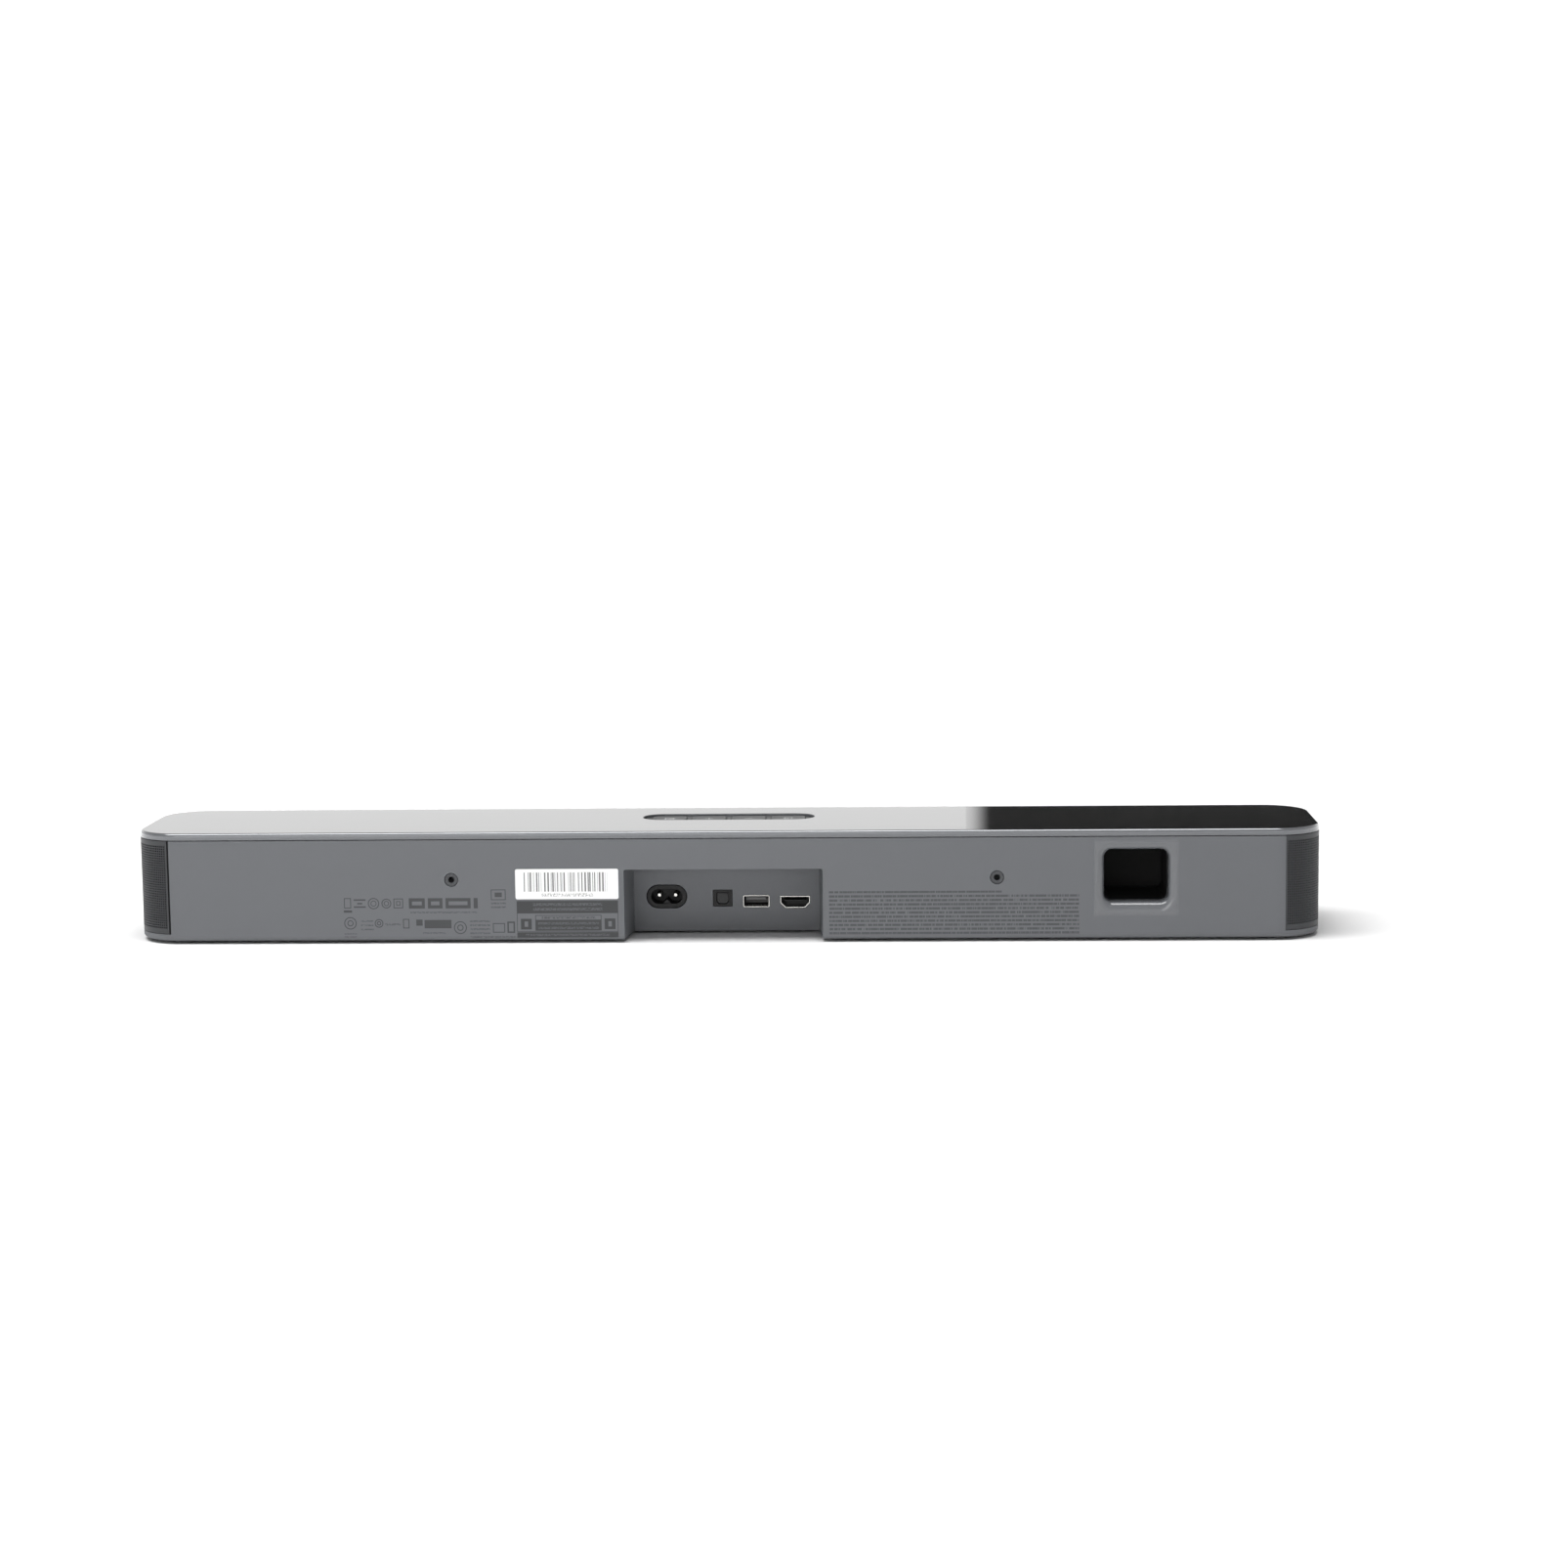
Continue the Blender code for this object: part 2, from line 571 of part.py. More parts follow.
def make_driver(side, name, finishes):
    """One racetrack driver: gasket, frame, magnet, and the cone on its voice coil in the surround."""
    foam, steel, ferrite, paper, rubber, copper = finishes
    gasket = [(80, 46, -38.1), (80, 46, -37.7), (70, 38, -37.7), (70, 38, -38.1)]
    piece(f"driver_gasket_{name}", driver_loft(gasket, side, closed=True), foam)

    basket = [(80, 46, -36.6), (80, 46, -35.2), (70, 38, -35.2), (46, 34, -20), (44, 32, -16)]
    basket += [(18, 18, -16), (18, 18, -17.5), (41, 29, -17.5), (43, 31, -20.5)]
    basket += [(66, 34, -35.2), (66, 34, -36.6)]
    frame = piece(f"driver_frame_{name}", driver_loft(basket, side, closed=True), steel)
    x = side * DRIVER_X / MM
    cut(frame, "upright_windows", block((x - 14, -32, -5), (x + 14, -23, 60)))
    cut(frame, "level_windows", block((x - 50, -32, 22), (x + 50, -23, 36)))

    centre = (side * DRIVER_X, DRIVER_Z)
    magnet = [(7.2, -16.5), (7.2, -9), (9, -9), (9, -15.7), (16, -15.7), (16, -5)]
    piece(f"driver_magnet_{name}", turned(magnet, "XZ", centre, DRIVER_COUNT), ferrite)

    roll = [(74, 42, -36.9), (74, 42, -37.4), (66, 34, -37.4), (65, 33, -39), (62.4, 30.4, -39.9)]
    roll += [(59.8, 27.8, -39), (58.8, 26.8, -37.6), (59.8, 27.8, -37.2), (61, 29, -38.7)]
    roll += [(62.4, 30.4, -39.3), (64, 32, -38.6), (65, 33, -36.9)]
    piece(f"cone_surround_{name}", driver_loft(roll, side, closed=True), rubber)

    cone = [(3, 3, -31.6), (9, 9, -31.2), (15, 15, -29.7), (17, 17, -29.8), (58, 26, -38.2)]
    cone += [(58, 26, -37.5), (17, 17, -28.3)]
    rest = (side * DRIVER_X, BAFFLE_BACK, DRIVER_Z)
    piece(f"speaker_cone_{name}", driver_loft(cone, side), paper, rest)
    coil = [(8.4, -28), (8.4, -11.5), (7.7, -11.5), (7.7, -28)]
    piece(f"voice_coil_{name}", turned(coil, "XZ", centre, DRIVER_COUNT, closed=True), copper, rest)


# Electronics.


def make_boards(board, metal, dark, sleeve, wadding):
    """The boards with their largest parts, the remote's receiver, and two pads of wadding."""
    piece("main_board", block((-98, -28, 11.4), (12, 15.2, 13)), board)
    piece("power_board", block((16, -28, 11.4), (98, 15.2, 13)), board)

    core = piece("transformer", block((48, -15, 13.3), (72, -1, 33.3)), dark)
    add(core, "winding", block((51, -18, 16), (69, 2, 30)))

    can = [(7.4, 13.3), (8, 13.9), (8, 15.5), (7.6, 16), (8, 16.5), (8, 37.4), (7.4, 38)]
    piece("main_capacitor", turned(can, "XY", (84 * MM, -10 * MM), 20), sleeve)

    sink = piece("amplifier_heatsink", block((-80, -22, 13.3), (-50, -4, 16.3)), metal)
    fins = [block((x, -22, 16), (x + 1.6, -4, 33)) for x in (-79.5, -73.7, -67.9, -62.1, -56.3)]
    add(sink, "fins", *fins)

    radio = piece("wireless_module", block((-44, -25, 13.3), (-20, -7, 14.3)), board)
    add(radio, "can", block((-42, -23, 14), (-22, -9, 16.6)))

    receiver = piece("ir_board", block((-15, -36.6, 21), (15, -35.4, 37)), board)
    add(receiver, "eye", block((3, -38.2, 26), (9, -36, 32)))

    for start, end, name in ((-290, -241, "damping_pad_left"), (208, 290, "damping_pad_right")):
        soften(piece(name, block((start, -34, 4.5), (end, 36, 53)), wadding), 3 * MM)


def smooth_route(points, steps):
    """Points along a smooth curve through the given ones."""
    ends = [points[0], *points, points[-1]]
    route = []
    for before, start, end, after in zip(ends, ends[1:], ends[2:], ends[3:]):
        for step in range(steps):
            t = step / steps
            route.append(tuple(
                0.5 * (2 * b + (c - a) * t + (2 * a - 5 * b + 4 * c - d) * t * t
                       + (3 * b - a - 3 * c + d) * t ** 3)
                for a, b, c, d in zip(before, start, end, after)
            ))
    return route + [points[-1]]


def make_wiring(insulation, film):
    """A lead from the main board to each driver, and the keys' flat cable."""
    routes = {
        "speaker_lead_left": ((-88, -14, 13.9), (-90, -18, 17), (-98, -22, 15),
                              (-106, -18, 14), (-115, -12, 17), (-124, -11, 23)),
        "speaker_lead_right": ((-6, -24, 13.9), (-5, -28, 17), (8, -33, 16), (50, -33, 9),
                               (92, -32, 9), (104, -22, 12), (114, -12, 16), (124, -11, 23)),
    }
    for name, points in routes.items():
        curve = bpy.data.curves.new(name, "CURVE")
        curve.dimensions = "3D"
        curve.bevel_depth = 0.9 * MM
        curve.bevel_resolution = 2
        curve.use_fill_caps = True
        curve.materials.append(insulation)
        route = smooth_route(points, 3)
        spline = curve.splines.new("POLY")
        spline.points.add(len(route) - 1)
        for point, place in zip(spline.points, route):
            point.co = (*[value * MM for value in place], 1)
        lead = bpy.data.objects.new(name, curve)
        bpy.context.scene.collection.objects.link(lead)

    path = smooth_route(((-2, 48.7), (3, 44), (6, 34), (1, 22), (-2, 13.3)), 4)
    half_width = 5 * MM
    half_film = 0.25 * MM
    middle = -31 * MM
    rings = []
    for y, z in path:
        y, z = y * MM, z * MM
        ring = [(middle - half_width, y - half_film, z), (middle + half_width, y - half_film, z)]
        ring += [(middle + half_width, y + half_film, z), (middle - half_width, y + half_film, z)]
        rings.append(ring)
    piece("ribbon_cable", loft(rings), film)


def clear_scene():
    for old in list(bpy.data.objects):
        bpy.data.objects.remove(old)


def main():
    clear_scene()
    grey_plastic = finish("grey_plastic", (0.17, 0.17, 0.18), 0.6)
    gloss_black = finish("gloss_black", (0.012, 0.012, 0.013), 0.12)
    grille_paint = finish("grille_paint", (0.02, 0.02, 0.022), 0.5, 0.3)
    black_plastic = finish("black_plastic", (0.015, 0.015, 0.016), 0.5)
    key_plastic = finish("key_plastic", (0.03, 0.03, 0.033), 0.45)
    nickel = finish("nickel", (0.65, 0.64, 0.62), 0.28, 1)
    black_steel = finish("black_steel", (0.07, 0.07, 0.075), 0.4, 0.6)
    paper = finish("white_label", (0.8, 0.8, 0.8), 0.5)
    rubber = finish("black_rubber", (0.02, 0.02, 0.02), 0.8)
    zinc = finish("zinc_steel", (0.45, 0.45, 0.46), 0.4, 1)
    board = finish("circuit_board", (0.03, 0.16, 0.07), 0.45)
    ferrite = finish("ferrite", (0.05, 0.05, 0.055), 0.6, 0.2)
    foam = finish("foam", (0.05, 0.05, 0.05), 0.95)
    cone_paper = finish("cone_paper", (0.04, 0.04, 0.042), 0.75)
    copper = finish("copper", (0.6, 0.28, 0.14), 0.35, 1)
    aluminium = finish("aluminium", (0.6, 0.6, 0.62), 0.4, 1)
    sleeve = finish("capacitor_sleeve", (0.03, 0.05, 0.12), 0.35)
    clear = finish("smoked_window", (0.05, 0.03, 0.03), 0.15)
    wadding = finish("wadding", (0.75, 0.75, 0.72), 0.95)
    film = finish("cable_film", (0.75, 0.75, 0.75), 0.4)

    make_rear_housing(grey_plastic)
    make_top_cover(gloss_black)
    make_front_grille(grille_paint)
    make_rear_fittings(black_plastic, black_steel, paper)
    make_feet_and_screws(rubber, zinc)
    make_controls(black_plastic, key_plastic, board, black_plastic)
    make_power_inlet(black_plastic, nickel)
    make_optical_jack(black_plastic)
    make_metal_sockets(nickel, black_plastic)
    make_baffle(black_plastic, clear)
    for side, name in ((-1, "left"), (1, "right")):
        make_driver(side, name, (foam, zinc, ferrite, cone_paper, rubber, copper))
    make_boards(board, aluminium, ferrite, sleeve, wadding)
    make_wiring(rubber, film)


main()
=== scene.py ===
import json
import math

import bmesh
import bpy
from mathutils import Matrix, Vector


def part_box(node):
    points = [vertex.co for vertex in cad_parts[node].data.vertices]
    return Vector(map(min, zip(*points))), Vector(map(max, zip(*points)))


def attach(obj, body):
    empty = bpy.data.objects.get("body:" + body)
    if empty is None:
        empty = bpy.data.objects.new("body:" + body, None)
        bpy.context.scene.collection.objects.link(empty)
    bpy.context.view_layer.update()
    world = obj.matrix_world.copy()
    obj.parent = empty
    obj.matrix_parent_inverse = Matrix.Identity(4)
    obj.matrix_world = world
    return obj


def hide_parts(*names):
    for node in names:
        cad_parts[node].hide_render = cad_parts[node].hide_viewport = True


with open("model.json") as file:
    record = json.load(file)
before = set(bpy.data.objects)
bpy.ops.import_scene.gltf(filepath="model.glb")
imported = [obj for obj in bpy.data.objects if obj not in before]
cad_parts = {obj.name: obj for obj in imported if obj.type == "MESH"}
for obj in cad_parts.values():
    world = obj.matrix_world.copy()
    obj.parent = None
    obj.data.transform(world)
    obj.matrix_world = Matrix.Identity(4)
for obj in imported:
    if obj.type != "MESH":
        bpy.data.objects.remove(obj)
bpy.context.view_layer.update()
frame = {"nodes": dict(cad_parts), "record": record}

nodes = frame["nodes"]
MM = 0.001


# Studio. A pale floor, a white surround, one long softbox over the bar and a weaker one behind the
# camera. A black flag stands where a larger loudspeaker would stand: only the gloss lid mirrors it.

class Shade:
    """One output of a material's node tree. Sums and products of it add their own Math nodes."""

    def __init__(self, tree, socket=None):
        self.tree = tree
        self.socket = socket

    def node(self, kind, settings=None, sockets=None, output=0):
        """Adds any other node: its settings are made first, then its sockets take values or links."""
        made = self.tree.nodes.new(kind)
        for name, value in (settings or {}).items():
            if name == "stops":
                ramp = made.color_ramp.elements
                while len(ramp) < len(value):
                    ramp.new(1)
                for stop, (position, grey) in zip(ramp, value):
                    stop.position = position
                    stop.color = (grey, grey, grey, 1)
            else:
                setattr(made, name, value)
        for name, value in (sockets or {}).items():
            if isinstance(value, Shade):
                self.tree.links.new(value.socket, made.inputs[name])
            else:
                made.inputs[name].default_value = value
        return Shade(self.tree, made.outputs[output])

    def math(self, operation, *values):
        return self.node("ShaderNodeMath", {"operation": operation}, dict(enumerate(values)))

    def __add__(self, other):
        return self.math("ADD", self, other)

    def __sub__(self, other):
        return self.math("SUBTRACT", self, other)

    def __rsub__(self, other):
        return self.math("SUBTRACT", other, self)

    def __mul__(self, other):
        return self.math("MULTIPLY", self, other)

    __radd__ = __add__
    __rmul__ = __mul__


def new_finish(name):
    """A new material, and the piece's own coordinates in it."""
    material = bpy.data.materials.new(name)
    material.use_nodes = True
    return material, Shade(material.node_tree).node("ShaderNodeTexCoord", output="Object")


def set_shader(material, sockets):
    shader = material.node_tree.nodes["Principled BSDF"]
    for name, value in sockets.items():
        if isinstance(value, Shade):
            material.node_tree.links.new(value.socket, shader.inputs[name])
        else:
            shader.inputs[name].default_value = value


def noise(place, scale, detail=2.0):
    return place.node("ShaderNodeTexNoise", {}, {"Vector": place, "Scale": scale, "Detail": detail})


def between(factor, low, high):
    """A colour that goes from low to high with the factor."""
    return factor.node("ShaderNodeMix", {"data_type": "RGBA"}, {0: factor, 6: low, 7: high}, 2)


def bump(place, height, distance, strength=1.0):
    sockets = {"Height": height, "Distance": distance, "Strength": strength}
    return place.node("ShaderNodeBump", {}, sockets)


def grey(value, blue=0.0):
    """A grey that leans a little to blue."""
    return (value, value * (1 + 0.35 * blue), value * (1 + blue), 1)


def apart(place):
    """The three coordinates of a place."""
    split = place.node("ShaderNodeSeparateXYZ", {}, {0: place})
    return [Shade(split.tree, split.socket.node.outputs[number]) for number in range(3)]


bpy.ops.object.select_all(action="DESELECT")
bpy.ops.mesh.primitive_plane_add(size=30, location=(0, 0, 0))
floor = bpy.context.object
floor.name = "floor"
floor_paint, place = new_finish("pale_floor")
reach = place.node("ShaderNodeVectorMath", {"operation": "LENGTH"}, {0: place}, "Value")
cove = place.node("ShaderNodeMapRange", {"interpolation_type": "SMOOTHSTEP"}, {0: reach, 1: 0.42, 2: 1.0})
set_shader(floor_paint, {
    "Base Color": between(noise(place, 3), grey(0.86), grey(0.9)),
    "Roughness": 0.7,
    "Emission Color": between(cove, grey(0), grey(0.95)),
    "Emission Strength": 1.0,
})
floor.data.materials.append(floor_paint)

bpy.ops.mesh.primitive_plane_add(size=1, location=(0, 0, 0))
flag = bpy.context.object
flag.name = "black_flag"
flag.scale = (0.256, 0.29, 1)
flag.rotation_euler = (math.radians(90), 0, 0)
flag.location = (-0.256, -0.2, 0.215)
bpy.ops.object.transform_apply()
flag_cloth, place = new_finish("flag_cloth")
x = apart(place)[0]
glow = place.node("ShaderNodeMapRange", {"interpolation_type": "SMOOTHSTEP"}, {0: x, 1: -0.143, 2: -0.128})
set_shader(flag_cloth, {
    "Base Color": between(noise(place, 40), grey(0.006), grey(0.01)),
    "Roughness": 1.0,
    "Emission Color": between(glow, grey(0), grey(0.9)),
    "Emission Strength": 1.0,
})
flag.data.materials.append(flag_cloth)
flag.visible_camera = flag.visible_diffuse = flag.visible_shadow = False

world = bpy.data.worlds.new("white_surround")
world.use_nodes = True
sky = Shade(world.node_tree)
seen = sky.node("ShaderNodeLightPath", output="Is Camera Ray")
mirrored = sky.node("ShaderNodeLightPath", output="Is Glossy Ray")
z = apart(sky.node("ShaderNodeTexCoord", output="Generated"))[2]
low_sky = sky.node("ShaderNodeMapRange", {"interpolation_type": "SMOOTHSTEP"}, {0: z, 1: 0.5, 2: 0.2})
strength = 0.32 + seen * 0.8 + mirrored * (0.2 + low_sky * 0.6)
background = world.node_tree.nodes["Background"]
background.inputs["Color"].default_value = (1, 1, 1, 1)
world.node_tree.links.new(strength.socket, background.inputs["Strength"])
bpy.context.scene.world = world
bpy.context.scene.view_settings.view_transform = "Standard"

for name, place, turn, size, watts in (
    ("softbox_above", (0.2, 0.2, 1.3), (-9, 9, 0), (1.5, 0.7), 27),
    ("softbox_behind_camera", (0.5, 2.6, 0.5), (-85, 0, -10), (1.4, 0.7), 8),
):
    bpy.ops.object.light_add(type="AREA", location=place, rotation=[math.radians(a) for a in turn])
    lamp = bpy.context.object
    lamp.name = name
    lamp.data.shape = "RECTANGLE"
    lamp.data.size, lamp.data.size_y = size
    lamp.data.energy = watts
    lamp.visible_camera = False

bpy.ops.object.camera_add(location=(-0.1045, 1.63, 0.286),
                          rotation=[math.radians(a) for a in (82.6795, 0.6745, -177.4666)])
camera = bpy.context.object
camera.data.sensor_width = 36
camera.data.lens = 71.78
bpy.context.scene.camera = camera


# Tub. The grey moulded box that everything is built into: textured ABS with a satin skin, set back
# under the grille at its front and ends. The bay, the port's mouth and the seats are moulded in.

LENGTH, DEPTH, CORNER = 614 * MM, 90 * MM, 24 * MM
REAR = DEPTH / 2
TUB_LOW, TUB_LIP, TUB_HIGH = 1.5 * MM, 5.1 * MM, 54 * MM


def block(name, low, high):
    """A box between two corners, on its own and in object mode."""
    bpy.ops.object.select_all(action="DESELECT")
    middle = [(a + b) / 2 for a, b in zip(low, high)]
    sides = [b - a for a, b in zip(low, high)]
    bpy.ops.mesh.primitive_cube_add(size=1, location=middle, scale=sides)
    made = bpy.context.object
    made.name = made.data.name = name
    bpy.ops.object.transform_apply()
    return made


def rod(name, radius, centre, span, axis="Y", sides=40):
    """A round bar along an axis, between two levels on it."""
    bpy.ops.object.select_all(action="DESELECT")
    turn = {"X": (0, math.radians(90), 0), "Y": (math.radians(90), 0, 0), "Z": (0, 0, 0)}[axis]
    middle = list(centre)
    middle.insert("XYZ".index(axis), (span[0] + span[1]) / 2)
    bpy.ops.mesh.primitive_cylinder_add(vertices=sides, radius=radius, depth=span[1] - span[0],
                                        location=middle, rotation=turn)
    made = bpy.context.object
    made.name = made.data.name = name
    bpy.ops.object.transform_apply()
    return made


def pick(part):
    """Selects one part and nothing else."""
    bpy.ops.object.select_all(action="DESELECT")
    part.select_set(True)
    bpy.context.view_layer.objects.active = part


def apply(part, kind, **settings):
    """Gives the part a modifier with these settings and applies it."""
    pick(part)
    change = part.modifiers.new(kind.lower(), kind)
    for name, value in settings.items():
        setattr(change, name, value)
    bpy.ops.object.modifier_apply(modifier=change.name)


def select(part, kind, test):
    """Goes into edit mode and selects the edges or faces that the test picks.

    The test gets an item's middle and its direction, which is a face's normal."""
    pick(part)
    bpy.ops.object.mode_set(mode="EDIT")
    bpy.ops.mesh.select_mode(type=kind)
    bpy.ops.mesh.select_all(action="DESELECT")
    mesh = bmesh.from_edit_mesh(part.data)
    for item in mesh.faces if kind == "FACE" else mesh.edges:
        if kind == "FACE":
            item.select_set(bool(test(item.calc_center_median(), item.normal)))
        else:
            first, second = (corner.co for corner in item.verts)
            item.select_set(bool(test((first + second) / 2, (second - first).normalized())))
    bmesh.update_edit_mesh(part.data)


def done():
    bpy.ops.object.mode_set(mode="OBJECT")


def round_edges(part, radius, steps, test):
    select(part, "EDGE", test)
    bpy.ops.mesh.bevel(offset=radius, offset_type="OFFSET", segments=steps, affect="EDGES",
                       clamp_overlap=True)
    done()


def along(axis):
    """A test for edges along an axis."""
    return lambda middle, way: abs(way["XYZ".index(axis)]) > 0.99


def cut(part, *cutters, operation="DIFFERENCE"):
    """Cuts away the cutters, or joins them on, and removes them."""
    for cutter in cutters:
        apply(part, "BOOLEAN", operation=operation, solver="EXACT", object=cutter)
        bpy.data.objects.remove(cutter)


def smooth(part, edge=0.0, steps=2, angle=35):
    """Rounds what sharp edges are left, and shades round faces smooth and flat ones flat."""
    pick(part)
    if edge:
        apply(part, "BEVEL", width=edge, segments=steps, limit_method="ANGLE",
              angle_limit=math.radians(angle))
    bpy.ops.object.shade_smooth_by_angle(angle=math.radians(angle))
    apply(part, "WEIGHTED_NORMAL", keep_sharp=True)


def place_on(part, material, body, *replaced, slot=None):
    part.data.materials.clear()
    part.data.materials.append(material)
    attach(part, body)
    if replaced:
        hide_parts(*replaced)


def bar_block(name, offset, low, high):
    """A block with the bar's outline, moved inwards by offset."""
    x, y = LENGTH / 2 - offset, DEPTH / 2 - offset
    made = block(name, (-x, -y, low), (x, y, high))
    round_edges(made, CORNER - offset, 24, along("Z"))
    return made


def oval_block(name, width, height, centre, span, axis="Y"):
    """A bar with an oval section, straight on its long sides, along Y or Z."""
    u, v = width / 2, height / 2
    if axis == "Y":
        low = (centre[0] - u, span[0], centre[1] - v)
        high = (centre[0] + u, span[1], centre[1] + v)
    else:
        low = (centre[0] - u, centre[1] - v, span[0])
        high = (centre[0] + u, centre[1] + v, span[1])
    made = block(name, low, high)
    round_edges(made, min(u, v) * 0.998, 16, along(axis))
    return made


def slab(name, width, height, radius, centre, span, axis="Y", steps=6):
    """A bar with a rounded rectangle for its section, along Y or Z."""
    u, v = width / 2, height / 2
    if axis == "Y":
        made = block(name, (centre[0] - u, span[0], centre[1] - v), (centre[0] + u, span[1], centre[1] + v))
    else:
        made = block(name, (centre[0] - u, centre[1] - v, span[0]), (centre[0] + u, centre[1] + v, span[1]))
    round_edges(made, radius, steps, along(axis))
    return made


INLET = (31.4 * MM, 19.7 * MM)
OPTICAL = (2.1 * MM, 18.7 * MM)
USB = (-15.5 * MM, 16.95 * MM)
HDMI = (-35.85 * MM, 16.5 * MM)
PORT = (-211.7 * MM, 33.6 * MM)
PORT_HALF = (16.3 * MM, 13.5 * MM)
INSERTS = ((-140.6 * MM, 33.3 * MM), (140.6 * MM, 33.3 * MM))
LABEL = (80.75 * MM, 30.85 * MM)
FEET = [(x * MM, y * MM) for x in (235, -235) for y in (32, -32)]
SCREWS = [(x * MM, y * MM) for x, y in ((197, -25), (98, 30), (-98, 30), (-197, -25))]
BAY_BACK, BAY_TOP, BAY_HALF, BAY_BACK_HALF = 18 * MM, 38.2 * MM, 51.4 * MM, 48.5 * MM

tub = bar_block("tub", 0, TUB_LOW, TUB_HIGH)
round_edges(tub, 2 * MM, 6, lambda middle, way: middle.z < TUB_LOW + 1e-6)

recess = bar_block("recess", -3 * MM, TUB_LIP, 60 * MM)
cut(recess, bar_block("core", 1.5 * MM, 0, 70 * MM))
cut(recess, block("rear_zone", (-287.7 * MM, 20 * MM, 0), (287.7 * MM, 60 * MM, 70 * MM)))
cut(tub, recess)

hollow = bar_block("hollow", 3.9 * MM, 3.9 * MM, 60 * MM)
cut(hollow, block("bay_walls", (-53.9 * MM, 15.6 * MM, 0), (53.9 * MM, 50 * MM, 40.6 * MM)))
cut(hollow, block("port_collar", (-237 * MM, 36.5 * MM, 10 * MM), (-186.5 * MM, 50 * MM, 53.2 * MM)))
cut(hollow, *[rod("boss", 6 * MM, centre, (33 * MM, 50 * MM)) for centre in INSERTS])
cut(hollow, *[rod("screw_boss", 4 * MM, centre, (0, 12 * MM), "Z", 24) for centre in SCREWS])
cut(tub, hollow)
cut(tub, block("front_gap", (-282.8 * MM, -60 * MM, 5.4 * MM), (282.8 * MM, -38.1 * MM, 60 * MM)))

bay = block("bay", (-BAY_HALF, BAY_BACK, -2 * MM), (BAY_HALF, REAR + 1 * MM, BAY_TOP))
round_edges(bay, 1 * MM, 4, lambda middle, way: abs(way.y) > 0.99 and middle.z > 30 * MM)
select(bay, "FACE", lambda middle, normal: normal.y < -0.9)
bpy.ops.transform.resize(value=(BAY_BACK_HALF / BAY_HALF, 1, 1), center_override=(0, BAY_BACK, 0))
done()
cut(tub, bay)
round_edges(tub, 2 * MM, 4, lambda middle, way: abs(way.y) > 0.95 and abs(abs(middle.x) - 50 * MM) < 1.6 * MM
            and middle.z < TUB_LOW + 0.01 * MM and middle.y > BAY_BACK)

cut(tub, slab("port_bore", 2 * PORT_HALF[0], 2 * PORT_HALF[1], 4 * MM, PORT, (34 * MM, 46 * MM)))
PORT_ROUND = 4.6 * MM
round_edges(tub, PORT_ROUND, 10, lambda middle, way: abs(middle.y - REAR) < 1e-6
            and abs(middle.x - PORT[0]) < 17 * MM and abs(middle.z - PORT[1]) < 14 * MM)
port_foot = PORT[1] - PORT_HALF[1]
select(tub, "EDGE", lambda middle, way: middle.y > REAR - PORT_ROUND - 0.1 * MM
       and abs(middle.x - PORT[0]) < 22 * MM
       and port_foot - PORT_ROUND - 0.1 * MM < middle.z < port_foot - 0.001 * MM)
bpy.ops.transform.resize(value=(1, 1, 1.4), center_override=(PORT[0], REAR, port_foot))
done()
cut(tub, *[rod("insert_seat", 3.6 * MM, centre, (34.5 * MM, 46 * MM)) for centre in INSERTS])
cut(tub, oval_block("inlet_seat", 21.4 * MM, 12.6 * MM, INLET, (14 * MM, 19 * MM)))
cut(tub, slab("optical_seat", 10.3 * MM, 9 * MM, 0.6 * MM, OPTICAL, (14 * MM, 19 * MM), steps=3))
cut(tub, slab("usb_seat", 14.2 * MM, 6.7 * MM, 0.9 * MM, USB, (14 * MM, 19 * MM), steps=3))


def hdmi_bar(name, grow, span):
    """A bar with the socket's section: a rectangle with its two lower corners cut off."""
    u, v = 7.7 * MM + grow, 3.1 * MM + grow
    made = block(name, (HDMI[0] - u, span[0], HDMI[1] - v), (HDMI[0] + u, span[1], HDMI[1] + v))
    round_edges(made, 2.6 * MM + grow / 2, 1, lambda middle, way: abs(way.y) > 0.99 and middle.z < HDMI[1])
    return made


cut(tub, hdmi_bar("hdmi_seat", 0.25 * MM, (14 * MM, 19 * MM)))
cut(tub, slab("label_seat", 53.8 * MM, 16.2 * MM, 1.2 * MM, LABEL, (44.75 * MM, 46 * MM), steps=4))
cut(tub, *[oval_block("foot_seat", 30.6 * MM, 8.6 * MM, centre, (0, 2.5 * MM), "Z") for centre in FEET])
cut(tub, *[rod("screw_well", 3.6 * MM, centre, (0, 2.9 * MM), "Z", 24) for centre in SCREWS])
smooth(tub, 0.22 * MM)

tub_paint, place = new_finish("textured_grey_abs")
x, y, z = apart(place)


def near(value, centre, reach):
    """One where a value is within reach of a centre."""
    return value.math("COMPARE", value, centre, reach)


def patch(u, v, left, right, low, high):
    """One inside a rectangle, whose four sides are given in millimetres."""
    return (near(u, (left + right) / 2 * MM, (right - left) / 2 * MM)
            * near(v, (low + high) / 2 * MM, (high - low) / 2 * MM))


def ring(u, v, centre_u, centre_v, radius, width, place):
    """One on a ring, given in millimetres."""
    spot = place.node("ShaderNodeCombineXYZ", {}, {0: u - centre_u * MM, 2: v - centre_v * MM})
    reach = place.node("ShaderNodeVectorMath", {"operation": "LENGTH"}, {0: spot}, "Value")
    return near(reach, radius * MM, width / 2 * MM)


def print_at(left, right, low, high):
    """A printed rectangle on the rear wall."""
    return patch(x, z, left, right, low, high)


def outline_at(left, right, low, high, line=0.45):
    """A printed frame on the rear wall."""
    return print_at(left, right, low, high) - print_at(left + line, right - line, low + line, high - line)


